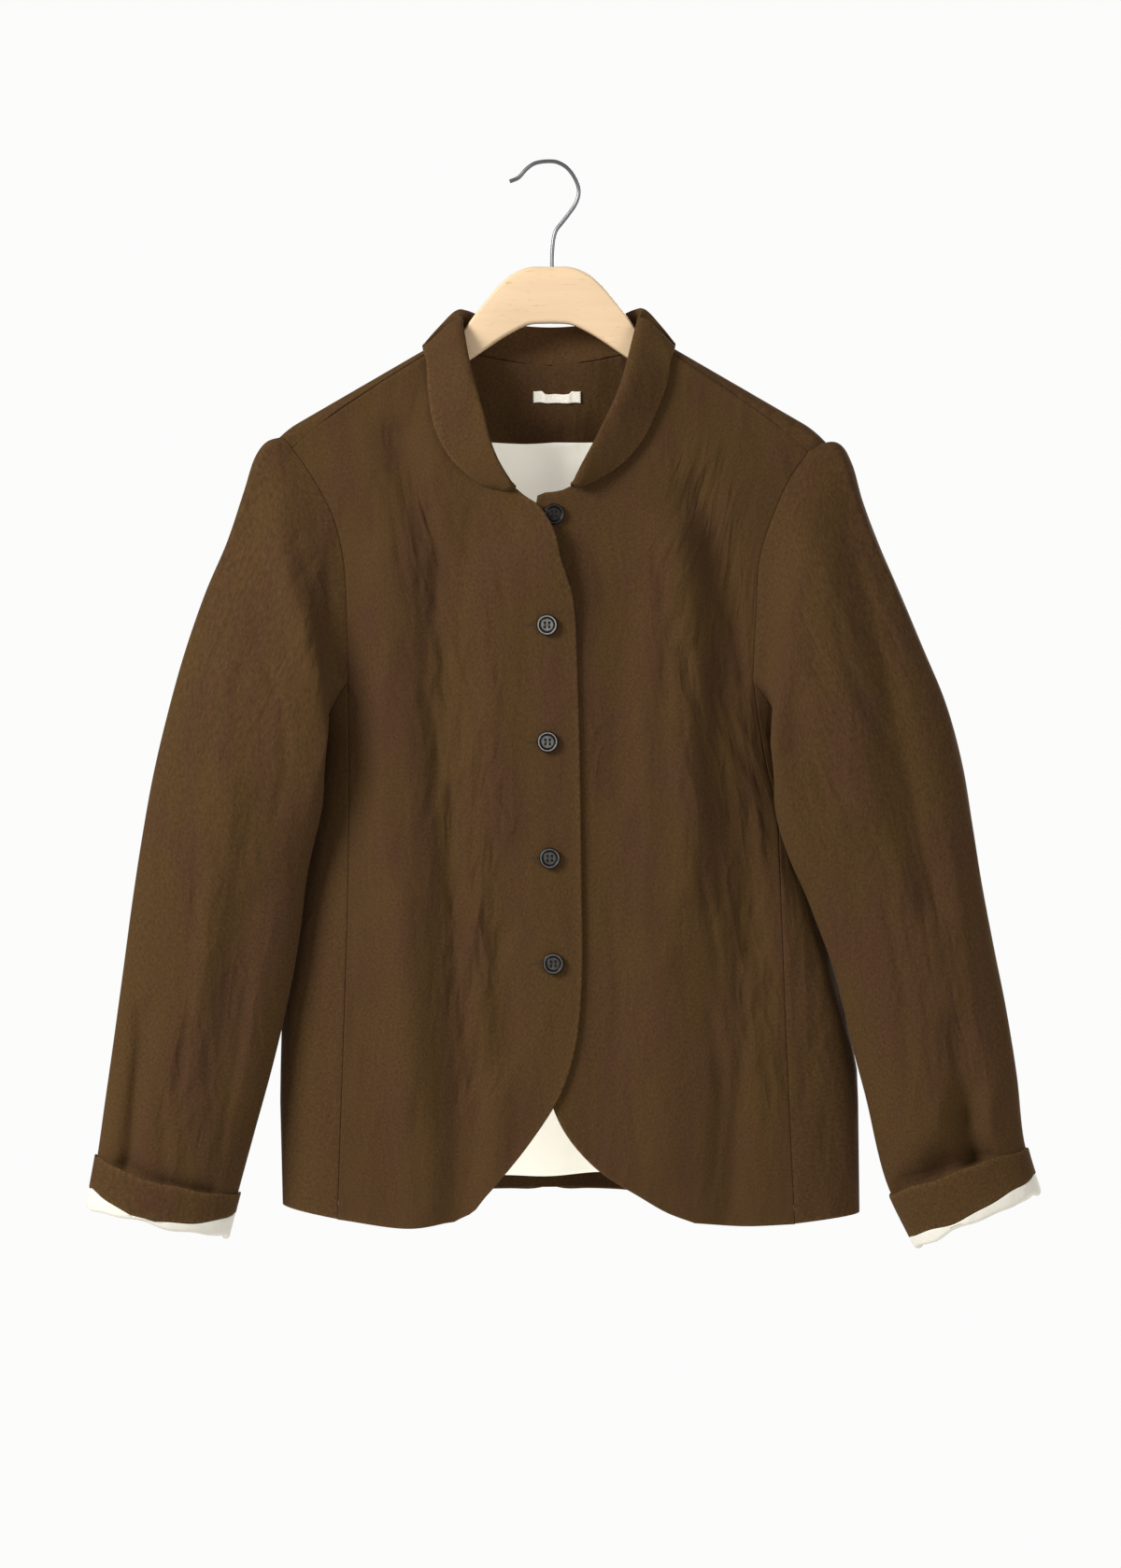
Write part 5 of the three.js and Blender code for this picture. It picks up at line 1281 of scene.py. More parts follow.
def wave(tree, source, scale, distortion, turn=0):
    vector = coordinates(tree, source, (1, 1, 1), turn)
    inputs = {"Vector": vector, "Scale": scale, "Distortion": distortion}
    return new_node(tree, "TexWave", inputs).outputs["Fac"]


def spread(tree, value, low, high, to_low=0, to_high=1):
    inputs = {
        "Value": value, "From Min": low, "From Max": high, "To Min": to_low, "To Max": to_high,
    }
    return new_node(tree, "MapRange", inputs).outputs["Result"]


def calculate(tree, kind, a, b=0):
    return new_node(tree, "Math", {0: a, 1: b}, operation=kind).outputs[0]


def mix_colours(tree, factor, a, b):
    return new_node(tree, "Mix", {0: factor, 6: a, 7: b}, data_type="RGBA").outputs[2]


def vertex_value(tree, name):
    return new_node(tree, "Attribute", {}, attribute_name=name).outputs["Fac"]


def facets(tree, scale, turn):
    """Crumpled cloth: soft hollows between short creases."""
    place = coordinates(tree, "UV", scale, turn)
    inputs = {"Vector": place, "Scale": 1.1, "Detail": 1}
    sway = new_node(tree, "TexNoise", inputs, noise_dimensions="2D").outputs["Color"]
    moved = new_node(tree, "VectorMath", {0: place, 1: sway}, operation="ADD").outputs[0]
    inputs = {"Vector": moved, "Scale": 1, "Smoothness": 0.35}
    settings = {"voronoi_dimensions": "2D", "feature": "SMOOTH_F1"}
    return new_node(tree, "TexVoronoi", inputs, **settings).outputs["Distance"]


def crinkles(tree, scale, turn, distortion):
    """Soft wandering ridges, as creases that washing has set."""
    texture = noise(tree, "Object", scale, turn, detail=1, rough=0.45, distortion=distortion)
    away = calculate(tree, "ABSOLUTE", calculate(tree, "SUBTRACT", texture, 0.5))
    return calculate(tree, "POWER", spread(tree, away, 0, 0.26, 1, 0), 1.7)


def colour(values, gain=1):
    return tuple(value * gain for value in values) + (1,)


def shell_material(name, cloth, gain=1):
    """Washed wool and linen: fine threads and flecks, faded in soft patches and at the edges."""
    material, tree = new_material(name)
    streaks = noise(tree, "Object", (34, 34, 11), detail=4, rough=0.55)
    patches = noise(tree, "Object", (9, 9, 4), rough=0.6)
    warp = noise(tree, "UV", (2600, 300, 1), detail=1, flat=True)
    weft = noise(tree, "UV", (300, 2300, 1), detail=1, flat=True)
    flecks = noise(tree, "UV", (430, 430, 1), rough=0.75, flat=True)
    redder = spread(tree, streaks, 0.4, 0.64)
    tone = mix_colours(tree, redder, colour(cloth.olive, gain), colour(cloth.russet, gain))
    washed = spread(tree, patches, 0.45, 0.75, 0, 0.35)
    faded = mix_colours(tree, washed, tone, colour(cloth.faded, gain))
    lighter = spread(tree, flecks, 0.3, 0.6, 0.1, 0.6)
    wear = calculate(tree, "MULTIPLY", vertex_value(tree, "wear"), lighter)
    worn = mix_colours(tree, wear, faded, colour(cloth.faded, 1.2 * gain))
    threads = calculate(tree, "MULTIPLY", calculate(tree, "ADD", warp, weft), 0.5)
    light = calculate(tree, "MULTIPLY", calculate(tree, "ADD", threads, flecks), 0.5)
    shade = spread(tree, light, 0.36, 0.64, 0.72, 1.28)
    shaded = new_node(tree, "VectorMath", {0: worn, "Scale": shade}, operation="SCALE")
    crumple = noise(tree, "Object", (52, 52, 20), detail=2, rough=0.45, distortion=0.4)
    long_creases = crinkles(tree, (20, 20, 6), 0, 0.5)
    short_creases = crinkles(tree, (44, 44, 17), 0.5, 0.6)
    patchy = calculate(tree, "MULTIPLY", short_creases, spread(tree, streaks, 0.4, 0.62))
    hollows = facets(tree, (60, 23, 1), 0.15)
    crushed = calculate(tree, "MULTIPLY", vertex_value(tree, "crumple"), hollows)
    inputs = {
        "Base Color": shaded.outputs[0],
        "Roughness": spread(tree, patches, 0.3, 0.7, 0.84, 0.96),
        "Specular IOR Level": 0.12,
        "Sheen Weight": 0.06,
        "Sheen Roughness": 0.5,
        "Sheen Tint": (0.7, 0.48, 0.3, 1),
    }
    bumps = (
        (0.0015, 1, crumple), (0.0006, 1, long_creases), (0.0006, 1, patchy),
        (0.0026, 1, crushed), (0.0002, 0.45, flecks), (0.0002, 0.5, threads),
    )
    surface(tree, inputs, bumps)
    return material


def lining_material(cloth, name, glow=()):
    """Thin cream cotton; inside the back it glows as painted light, weaker under the collar as
    painted shade.
    """
    material, tree = new_material(name)
    patches = noise(tree, "Object", (30, 30, 12), detail=4)
    shade = spread(tree, patches, 0.3, 0.7)
    tone = mix_colours(tree, shade, colour(cloth.lining), colour(cloth.lining, 0.9))
    inputs = {"Base Color": tone, "Emission Color": tone, "Roughness": 0.62, "Sheen Weight": 0.1}
    # Painted light: the back lining glows, more towards the hem than under the collar
    if glow:
        place = new_node(tree, "SeparateXYZ", {0: coordinates(tree, "Object", (1, 1, 1))})
        inputs["Emission Strength"] = spread(tree, place.outputs["Z"], *PAINTED_GLOW_HEIGHTS, *glow)
    weave = noise(tree, "UV", (1700, 1900, 1), detail=1)
    drape = noise(tree, "Object", (20, 20, 9), detail=2, distortion=0.6)
    wrinkles = noise(tree, "Object", (60, 60, 26), distortion=0.6)
    surface(tree, inputs, ((0.006, 0.6, drape), (0.002, 0.5, wrinkles), (0.0001, 0.4, weave)))
    return material


def label_material(cloth):
    material, tree = new_material("label_tape")
    shade = spread(tree, noise(tree, "UV", (1, 1, 1), fine=600, detail=2), 0.3, 0.7)
    tone = mix_colours(tree, shade, colour(cloth.lining, 0.82), colour(cloth.lining))
    # Painted light: the label glows a little in its own colour
    inputs = {
        "Base Color": tone, "Emission Color": tone, "Emission Strength": 0.3, "Roughness": 0.8,
    }
    surface(tree, inputs, ((0.0001, 0.5, wave(tree, "UV", 700, 0.4)),))
    return material


def horn_material(hard):
    """Dark horn, with a painted highlight on the rim and in the dish where it reflects the bright
    room.
    """
    material, tree = new_material("horn")
    clouds = noise(tree, "Object", (230, 230, 300), detail=4, distortion=1.2)
    patchy = spread(tree, clouds, 0.3, 0.65, 0.55, 1.1)
    painted_highlight = calculate(tree, "MULTIPLY", vertex_value(tree, "painted_highlight"), patchy)
    scratches = noise(tree, "Object", (900, 900, 900), detail=2)
    inputs = {
        "Base Color": mix_colours(tree, painted_highlight, colour(hard.horn), colour(hard.lighter)),
        "Roughness": spread(tree, clouds, 0.3, 0.7, 0.24, 0.38),
        "Specular IOR Level": 0.18,
    }
    surface(tree, inputs, ((0.0001, 0.3, scratches),))
    return material


def thread_material(hard, name, gain):
    material, tree = new_material(name)
    twist = wave(tree, "Object", 420, 1, 0.7)
    tone = mix_colours(tree, twist, colour(hard.thread, gain), colour(hard.thread, 1.7 * gain))
    surface(tree, {"Base Color": tone, "Roughness": 0.75}, ((0.0002, 0.6, twist),))
    return material


def wood_material(hard):
    """Pale beech: long soft grain with short darker flecks."""
    material, tree = new_material("beech")
    rings = noise(tree, "Object", (7, 60, 75), detail=6, rough=0.6, distortion=0.6)
    flecks = noise(tree, "Object", (110, 420, 900), detail=1)
    dark = spread(tree, flecks, 0.66, 0.76, 0, 0.45)
    soft = spread(tree, rings, 0.3, 0.7)
    tone = mix_colours(tree, soft, colour(hard.wood), colour(hard.wood, 0.89))
    inputs = {
        "Base Color": mix_colours(tree, dark, tone, colour(WOOD_FLECK)),
        "Roughness": spread(tree, rings, 0.3, 0.7, 0.42, 0.55),
        "Coat Weight": 0.12,
        "Coat Roughness": 0.35,
    }
    surface(tree, inputs, ((0.0003, 0.35, rings), (0.0001, 0.4, flecks)))
    return material


def steel_material(hard):
    material, tree = new_material("drawn_steel")
    drawn = noise(tree, "Object", (16, 16, 16), detail=1)
    shade = spread(tree, drawn, 0.3, 0.7)
    inputs = {
        "Base Color": mix_colours(tree, shade, colour(hard.steel), colour(hard.steel, 0.75)),
        "Metallic": 1,
        "Roughness": spread(tree, drawn, 0.3, 0.7, 0.34, 0.44),
    }
    surface(tree, inputs)
    return material


def stage_material(stage):
    material, tree = new_material("pale_floor")
    shade = spread(tree, noise(tree, "Object", (3, 3, 3), detail=2), 0.3, 0.7)
    tone = mix_colours(tree, shade, colour(stage.floor), colour(stage.floor, 0.98))
    surface(tree, {"Base Color": tone, "Roughness": 0.9})
    return material


MATERIALS = {}


def material(name, make, *values):
    if name not in MATERIALS:
        MATERIALS[name] = make(*values)
    return MATERIALS[name]


def shell_cloth(cloth):
    return material("shell", shell_material, "washed_cloth", cloth)


def button_thread(hard):
    return material("dark_thread", thread_material, hard, "button_thread", 0.4)


# The panels are worked out once and shared by the operators

PANELS = {}


def panels():
    if not PANELS:
        right, left, back = front_panel(RIGHT), front_panel(LEFT), back_panel()
        sides = {side: side_panel(side) for side in (RIGHT, LEFT)}
        fronts = {RIGHT: right, LEFT: left}
        PANELS.update(fronts=fronts, back=back, sides=sides)
        PANELS["sleeves"] = {
            side: sleeve_grid(side, armhole_loop(side, fronts[side], sides[side], back))
            for side in (RIGHT, LEFT)
        }
    return PANELS


def inside_back(top, bottom, rows, depth):
    """A piece that lies this deep on the inside of the back, between two lines of (x, z)."""
    share = np.linspace(0, 1, rows + 1)[:, None, None]
    flat = lerp(smooth(top, FINE)[None], smooth(bottom, FINE)[None], share)
    grid = back_points(flat[..., 0], flat[..., 1])
    return grid - grid_normals(grid) * depth


def turned_edge(grid, side):
    """Thickness that a front's turned and faced edges add, fading in from its free edge and hem."""
    edge = grid[:, -1] if side == RIGHT else grid[:, 0]
    from_edge = np.abs(grid[..., 0] - edge[:, None, 0])
    from_hem = np.abs(grid[..., 2] - grid[-1][None, :, 2])
    near = np.minimum(from_edge, from_hem)
    free = smoothstep((np.arange(len(grid)) / FINE - NECKLINE_ROWS + 1) / TURNED_EDGE["rows"])
    return TURNED_EDGE["swell"] * np.exp(-((near / TURNED_EDGE["width"]) ** 2)) * free[:, None]


def colour_value(name, description, default):
    return bpy.props.FloatVectorProperty(
        name=name, description=description, subtype="COLOR", size=3, min=0, max=1,
        default=default,
    )


def length_value(name, description, low, high, default):
    return bpy.props.FloatProperty(
        name=name, description=description, subtype="DISTANCE", unit="LENGTH", min=low, max=high,
        default=default,
    )


class JacketCloth(bpy.types.PropertyGroup):
    olive: colour_value("Olive", "Cloth colour in the greener streaks", (0.065, 0.0335, 0.0098))
    russet: colour_value("Russet", "Cloth colour in the redder streaks", (0.062, 0.029, 0.0118))
    faded: colour_value("Faded", "Cloth colour where washing has worn it", (0.08, 0.043, 0.0148))
    lining: colour_value("Lining", "Colour of the lining and the label", (0.8, 0.76, 0.65))
    thickness: length_value("Cloth", "Thickness of the outer cloth", 0.001, 0.003, CLOTH * MM)


class JacketHard(bpy.types.PropertyGroup):
    horn: colour_value("Horn", "Darkest colour of the buttons", (0.007, 0.005, 0.0045))
    # Colour of the painted highlight on the buttons' rims and dishes
    lighter: colour_value(
        "Highlit horn", "Colour of the buttons where they are rubbed", (0.34, 0.33, 0.3)
    )
    thread: colour_value("Thread", "Colour of the sewing thread", (0.03, 0.013, 0.007))
    wood: colour_value("Wood", "Lightest colour of the yoke", (0.83, 0.6, 0.37))
    steel: colour_value("Steel", "Colour of the hook", (0.24, 0.24, 0.25))
    wire: length_value("Wire", "Radius of the hook's wire", 0.001, 0.003, HOOK_RADIUS * MM)


class JacketStage(bpy.types.PropertyGroup):
    floor: colour_value("Floor", "Colour of the floor", (0.9, 0.9, 0.89))
    air: bpy.props.FloatProperty(
        name="Air", description="Brightness of the light from all round", min=0, max=4,
        default=0.36,
    )
    key: bpy.props.FloatProperty(
        name="Key", description="Power of the light at the upper left", unit="POWER",
        min=0, max=2000, default=115,
    )
    distance: length_value("Distance", "From the camera to the jacket's front", 1, 10, 5)


class JACKET_OT_body(bpy.types.Operator):
    """Makes the two fronts, the back and the side panels"""

    bl_idname = "jacket.body"
    bl_label = "Body"

    def execute(self, context):
        cloth = context.scene.jacket_cloth
        thickness = cloth.thickness / MM
        shell = shell_cloth(cloth)
        for side, name in SIDE_NAMES.items():
            grid = panels()["fronts"][side]
            worn = ("last" if side == RIGHT else "first", "bottom")
            swell = turned_edge(grid, side)
            add_sheet(f"front_{name}", grid, thickness, shell, "shell", swell=swell, worn=worn)
            panel = panels()["sides"][side]
            add_sheet(f"side_panel_{name}", panel, thickness, shell, "shell", worn=("bottom",))
        add_sheet("back", panels()["back"], thickness, shell, "shell", worn=("bottom",))
        return {"FINISHED"}


class JACKET_OT_sleeves(bpy.types.Operator):
    """Makes the sleeves with their turned-up ends"""

    bl_idname = "jacket.sleeves"
    bl_label = "Sleeves"

    def execute(self, context):
        cloth = context.scene.jacket_cloth
        thickness = cloth.thickness / MM
        shell = shell_cloth(cloth)
        cream = material("cream", lining_material, cloth, "cream_cuff_lining")
        for side, name in SIDE_NAMES.items():
            grid = panels()["sleeves"][side]
            body = over_cuff(grid, side)
            band, lining = cuff_grids(grid, body, side)
            body[-1] = sleeve_end(grid, [SHELL_END])[0]
            add_sheet(f"sleeve_{name}", body, thickness, shell, "shell", closed=True)
            worn = ("top", "bottom")
            options = {"closed": True, "gap": 0}
            add_sheet(f"cuff_{name}", band, thickness, shell, "shell", worn=worn, **options)
            add_sheet(f"cuff_lining_{name}", lining, LINING, cream, "cream", **options)
        return {"FINISHED"}


class JACKET_OT_collar(bpy.types.Operator):
    """Makes the collar, its stand and fall in one folded wall"""

    bl_idname = "jacket.collar"
    bl_label = "Collar"

    def execute(self, context):
        cloth = context.scene.jacket_cloth
        fronts = panels()["fronts"]
        grid = collar_grid(fronts[LEFT], panels()["back"], fronts[RIGHT])
        bias = material("collar", shell_material, "collar_cloth", cloth, 1.04)
        from_end = np.minimum(np.arange(grid.shape[1]), np.arange(grid.shape[1])[::-1])
        thin = -COLLAR_END_THIN * np.exp(-((from_end / FINE) ** 2))
        swell = np.broadcast_to(thin, grid.shape[:2])
        add_sheet("collar", grid, COLLAR_CLOTH, bias, "collar", swell=swell, worn=("top",))
        return {"FINISHED"}


class JACKET_OT_inside(bpy.types.Operator):
    """Makes the neck facing, the lining and hem facing of the back, and the label"""

    bl_idname = "jacket.inside"
    bl_label = "Inside"

    def execute(self, context):
        cloth = context.scene.jacket_cloth
        shell = shell_cloth(cloth)
        cream = material(
            "inner_cream", lining_material, cloth, "cream_back_lining", LINING_PAINTED_GLOW
        )
        depth = CLOTH / 2 + LAYER_GAP + LINING / 2
        facing = inside_back(FACING["neck"], FACING["bottom"], INSIDE_ROWS["facing"], depth)
        lining = inside_back(FACING["bottom"], FACING["hem"], INSIDE_ROWS["lining"], depth)
        hem = inside_back(FACING["hem"], FACING["edge"], INSIDE_ROWS["hem"], depth)
        add_sheet("back_neck_facing", facing, LINING, shell, "shell")
        add_sheet("back_lining", lining, LINING, cream, "cream")
        add_sheet("back_hem_facing", hem, LINING, shell, "shell")
        dark = button_thread(context.scene.jacket_hard)
        self.add_label(material("label", label_material, cloth), dark)
        return {"FINISHED"}

    def add_label(self, tape, thread):
        """The label's long edges dip a little between the stitches at its ends."""
        columns, rows = LABEL_CELLS
        share = np.linspace(0, 1, columns + 1)
        x = lerp(NECK_LABEL["x1"], NECK_LABEL["x0"], share)
        from_end = np.minimum(share, 1 - share)
        dip = smoothstep((from_end - LABEL_DIP["start"]) / LABEL_DIP["fade"])
        top = NECK_LABEL["z0"] - LABEL_DIP["top"] * dip - LABEL_WAVE * np.sin(21 * share)
        bottom = NECK_LABEL["z1"] - LABEL_DIP["bottom"] * dip + LABEL_WAVE * np.sin(16 * share)
        z = lerp(top, bottom, np.linspace(0, 1, rows + 1)[:, None])
        grid = back_points(np.broadcast_to(x, z.shape), z)
        inward = CLOTH / 2 + LAYER_GAP + LINING + LAYER_GAP + LABEL / 2
        away = inward + LABEL_DIP["out"] * dip * (1 + np.sin(9 * share))
        normals = grid_normals(grid)
        place = grid - normals * away[None, :, None]
        add_sheet("neck_label", place, LABEL, tape, "cream", gap=0)
        curve = new_curve("label_stitches", LABEL_STITCH)
        outside = grid - normals * (inward + LABEL / 2)
        for column in (1, columns - 1):
            for row in (1, 3, 5, 7):
                ends = outside[row : row + 2, column]
                add_spline(curve, lerp(ends[0], ends[1], np.array([[0.1], [0.9]])))
        add_object("label_stitches", curve_mesh(curve), thread, None)


class JACKET_OT_buttons(bpy.types.Operator):
    """Makes the five buttons with their thread, and the four buttonholes in use"""

    bl_idname = "jacket.buttons"
    bl_label = "Buttons"

    def execute(self, context):
        hard = context.scene.jacket_hard
        horn = material("horn", horn_material, hard)
        thread = material("thread", thread_material, hard, "buttonhole_thread", 1)
        dark = button_thread(hard)
        for number, (x, z, side) in enumerate(BUTTONS):
            place, across, up, out = self.seat(x, z, side)
            self.add_button(number + 1, horn, dark, place, across, up, out)
        for number, start in BUTTONHOLE_STARTS.items():
            self.add_buttonhole(number, start, BUTTONS[number][1], thread)
        return {"FINISHED"}

    def seat(self, x, z, side):
        """Where a button lies flat on the cloth: its centre and its three directions."""
        step = BUTTON_RADIUS
        turns = np.linspace(0, 2 * math.pi, SEAT_SIDES, endpoint=False)

        def at(px, pz):
            return on_front(np.array(px, float), np.array(pz, float), side)

        centre = at(x, z)
        across = unit(at(x + step, z) - at(x - step, z))
        down = unit(at(x, z - step) - at(x, z + step))
        out = unit(np.cross(down, across))
        rim = at(x + step * np.cos(turns), z + step * np.sin(turns)) - centre
        lift = max(0, float(np.max(rim @ out)))
        place = centre + out * (CLOTH / 2 + LAYER_GAP + lift)
        return place, across, np.cross(out, across) * -1, out

    def add_button(self, number, horn, thread, place, across, up, out):
        profile = smooth(BUTTON_PROFILE, PROFILE_FINE)[1:-1]
        turns = np.linspace(0, 2 * math.pi, BUTTON_SIDES, endpoint=False)
        radius, height = profile[:, :1], profile[:, 1:]
        ring = radius[..., None] * (np.cos(turns)[:, None] * across + np.sin(turns)[:, None] * up)
        grid = ring + height[..., None] * out + place
        mesh = tube_mesh(f"button_{number}_horn", grid, flipped=True)
        button = add_object(f"button_{number}_horn", mesh, horn, f"button_{number}")
        self.drill(button, place, across, up, out)
        # Painted highlight, weaker on the buttons that lie in shade
        self.paint_highlight(button.data, HIGHLIGHT_SHARE[number - 1], place, across, up, out)
        self.add_thread(number, thread, place, across, up, out)

    def paint_highlight(self, mesh, share, place, across, up, out):
        """Writes the painted highlight on the horn: on the rim and in the dish, and not in the
        holes.
        """
        points = np.empty(len(mesh.vertices) * 3)
        mesh.vertices.foreach_get("co", points)
        away = points.reshape(-1, 3) / MM - place
        height = away @ out
        radius = np.linalg.norm(away - height[:, None] * out, axis=1)
        painted_highlight = np.interp(radius, HIGHLIGHT_RING[0], HIGHLIGHT_RING[1]) * share
        from_hole = np.hypot(
            np.abs(away @ across) - BUTTON_HOLE["pitch"], np.abs(away @ up) - BUTTON_HOLE["pitch"]
        )
        clear = (height > HIGHLIGHT_ABOVE) & (from_hole > BUTTON_HOLE["radius"] + 0.1)
        add_vertex_values(mesh, "painted_highlight", np.where(clear, painted_highlight, 0))

    def drill(self, button, place, across, up, out):
        """Cuts the four holes, and leaves the button as a plain mesh."""
        pitch, radius = BUTTON_HOLE["pitch"], BUTTON_HOLE["radius"]
        turns = np.linspace(0, 2 * math.pi, HOLE_SIDES, endpoint=False)
        ring = radius * (np.cos(turns)[:, None] * across + np.sin(turns)[:, None] * up)
        count = HOLE_SIDES
        points, faces = [], []
        for sx in (-1, 1):
            for sz in (-1, 1):
                centre = place + across * sx * pitch + up * sz * pitch
                start = len(points)
                points.extend(centre + ring + out * (BUTTON_DISH - BUTTON_HOLE["depth"]))
                points.extend(centre + ring + out * BUTTON_TOP)
                faces.append(list(range(start, start + count))[::-1])
                faces.append(list(range(start + count, start + 2 * count)))
                for k in range(count):
                    after = (k + 1) % count
                    low, high = start + k, start + after
                    faces.append([low, high, high + count, low + count])
        mesh = bpy.data.meshes.new("holes")
        mesh.from_pydata((np.array(points) * MM).tolist(), [], faces)
        cutter = new_object("holes", mesh)
        cut = button.modifiers.new("holes", "BOOLEAN")
        cut.operation = "DIFFERENCE"
        cut.object = cutter
        finished = finished_mesh(button)
        button.modifiers.clear()
        button.data = finished
        bpy.data.objects.remove(cutter)
        bpy.data.meshes.remove(mesh)

    def add_thread(self, number, thread, place, across, up, out):
        """Two strands between each upper and lower hole, sunk into both."""
        pitch = BUTTON_HOLE["pitch"]
        curve = new_curve(f"button_{number}_thread", THREAD["radius"])
        for sx in (-1, 1):
            for shift in (-THREAD["off"], THREAD["off"]):
                start = place + across * (sx * pitch + shift)
                path = [start + up * t * pitch + out * h for t, h in THREAD_WAY]
                add_spline(curve, path)
        add_object(f"button_{number}_thread", curve_mesh(curve), thread, None)

    def add_buttonhole(self, number, start, z, thread):
        """A slit bound with close stitches, with a bar across its outer end."""
        curve = new_curve(f"buttonhole_{number}", BINDING["radius"])
        for shift in (-BINDING["off"], BINDING["off"]):
            x = np.linspace(start, BUTTONHOLE_END, BINDING["points"])
            wave_up = shift + 0.07 * np.sin(x * 5 + shift) + 0.25 * np.sin(x / 4 + number)
            add_spline(curve, self.raised(x, z + wave_up, BINDING["raised"]))
        bar = np.linspace(-BAR["half"], BAR["half"], BAR["points"])
        x = np.full(len(bar), start - BAR["off"])
        add_spline(curve, self.raised(x, z + bar, BAR["raised"]))
        add_object(f"buttonhole_{number}", curve_mesh(curve), thread, None)

    def raised(self, x, z, height):
        points = on_front(x, z, RIGHT)
        points[..., 1] -= CLOTH / 2 + height
        return points


class JACKET_OT_hanger(bpy.types.Operator):
    """Makes the wooden yoke and the steel hook"""

    bl_idname = "jacket.hanger"
    bl_label = "Hanger"

    def execute(self, context):
        hard = context.scene.jacket_hard
        wood = material("wood", wood_material, hard)
        steel = material("steel", steel_material, hard)
        add_object("hanger_yoke", self.yoke_mesh(), wood, "hanger_wood")
        curve = new_curve("hanger_wire", hard.wire / MM)
        end = np.array(HOOK[-1], float)
        line = smooth(np.vstack([HOOK, end - (0, HOOK_END)]), HOOK_FINE)
        points = np.stack([line[:, 0], np.zeros(len(line)), line[:, 1]], -1)
        add_spline(curve, points)
        add_object("hanger_wire", curve_mesh(curve), steel, "hanger_hook")
        return {"FINISHED"}

    def yoke_mesh(self):
        even = np.linspace(0, YOKE_HALF - YOKE_ROUND, YOKE_STATIONS[0])
        close = YOKE_HALF - np.geomspace(0.05, YOKE_ROUND, YOKE_STATIONS[1])
        stations = np.unique(np.concatenate([even, close]))
        crest_line = smooth(np.stack([YOKE["x"], YOKE["top"]], -1)[:YOKE_SEEN], YOKE_FINE)
        foot_line = smooth(np.stack([YOKE["x"], YOKE["bottom"]], -1), YOKE_FINE)
        crest = np.interp(stations, crest_line[:, 0], crest_line[:, 1])
        drop = YOKE_END_DROP * np.maximum(0, stations - YOKE_END_START) ** 2
        seat = ridge_z(stations) - YOKE_SEAT - drop
        under = smoothstep((stations - YOKE_UNDER_CLOTH) / YOKE_UNDER_FADE)
        top = lerp(crest, seat, under)
        foot = np.interp(stations, foot_line[:, 0], foot_line[:, 1])
        x = np.concatenate([-stations[:0:-1], stations])
        top = np.concatenate([top[:0:-1], top])
        foot = np.concatenate([foot[:0:-1], foot])
        end = np.clip((YOKE_HALF - np.abs(x)) / YOKE_ROUND, YOKE_LEAST["round"], 1)
        tight = np.sqrt(1 - (1 - end) ** 2)
        deep = YOKE_THICKNESS / 2 * lerp(YOKE_LEAST["thick"], 1, tight)
        tall = lerp(YOKE_LEAST["tall"], 1, tight)
        middle = (top + foot) / 2
        top, foot = lerp(middle, top, tall), lerp(middle, foot, tall)
        round_edge = np.minimum(YOKE_EDGE, (top - foot) / 3)
        turns = np.linspace(0, math.pi / 2, YOKE_EDGE_POINTS)
        section = []
        for sy, sz, order in ((1, 1, 1), (1, -1, -1), (-1, -1, 1), (-1, 1, -1)):
            for turn in turns[::order]:
                y = sy * (deep - round_edge * (1 - np.sin(turn)))
                corner = round_edge * (1 - np.cos(turn))
                z = top - corner if sz > 0 else foot + corner
                section.append(np.stack([x, y, z], -1))
        return tube_mesh("hanger_yoke", np.array(section).transpose(1, 0, 2))


def new_curve(name, radius):
    curve = bpy.data.curves.new(name, "CURVE")
    curve.dimensions = "3D"
    curve.bevel_depth = radius * MM
    curve.bevel_resolution = CURVE_ROUND
    curve.use_fill_caps = True
    return curve


def add_spline(curve, points):
    spline = curve.splines.new("POLY")
    spline.points.add(len(points) - 1)
    for target, point in zip(spline.points, points):
        target.co = (*(np.asarray(point) * MM), 1)


def curve_mesh(curve):
    """The curve's surface as a plain mesh."""
    temporary = new_object(curve.name + "_line", curve)
    mesh = finished_mesh(temporary)
    mesh.name = curve.name
    bpy.data.objects.remove(temporary)
    bpy.data.curves.remove(curve)
    mesh.shade_smooth()
    return mesh


# The photograph's view in metres: its centre, and the height that it shows at VIEW_PLANE
VIEW_X = 0.0077
VIEW_Z = -0.467
VIEW_HEIGHT = 1.175
VIEW_PLANE = -0.020
SENSOR = 36
FLOOR_Z = -1.5
FLOOR_HALF = (2.4, 1.0)
AIR_SEEN = 1
AIR_COLOUR = (0.97, 0.97, 0.965, 1)
# Each light: its place, its size and its share of the key light's power
LIGHTS = {
    "key": ((-2.36, -1.62, 0.97), 1.2, 1),
    "fill": ((1.9, -2.4, -0.2), 1.8, 0.22),
    "behind": ((1.5, 2.2, 0.6), 1.8, 0.5),
}


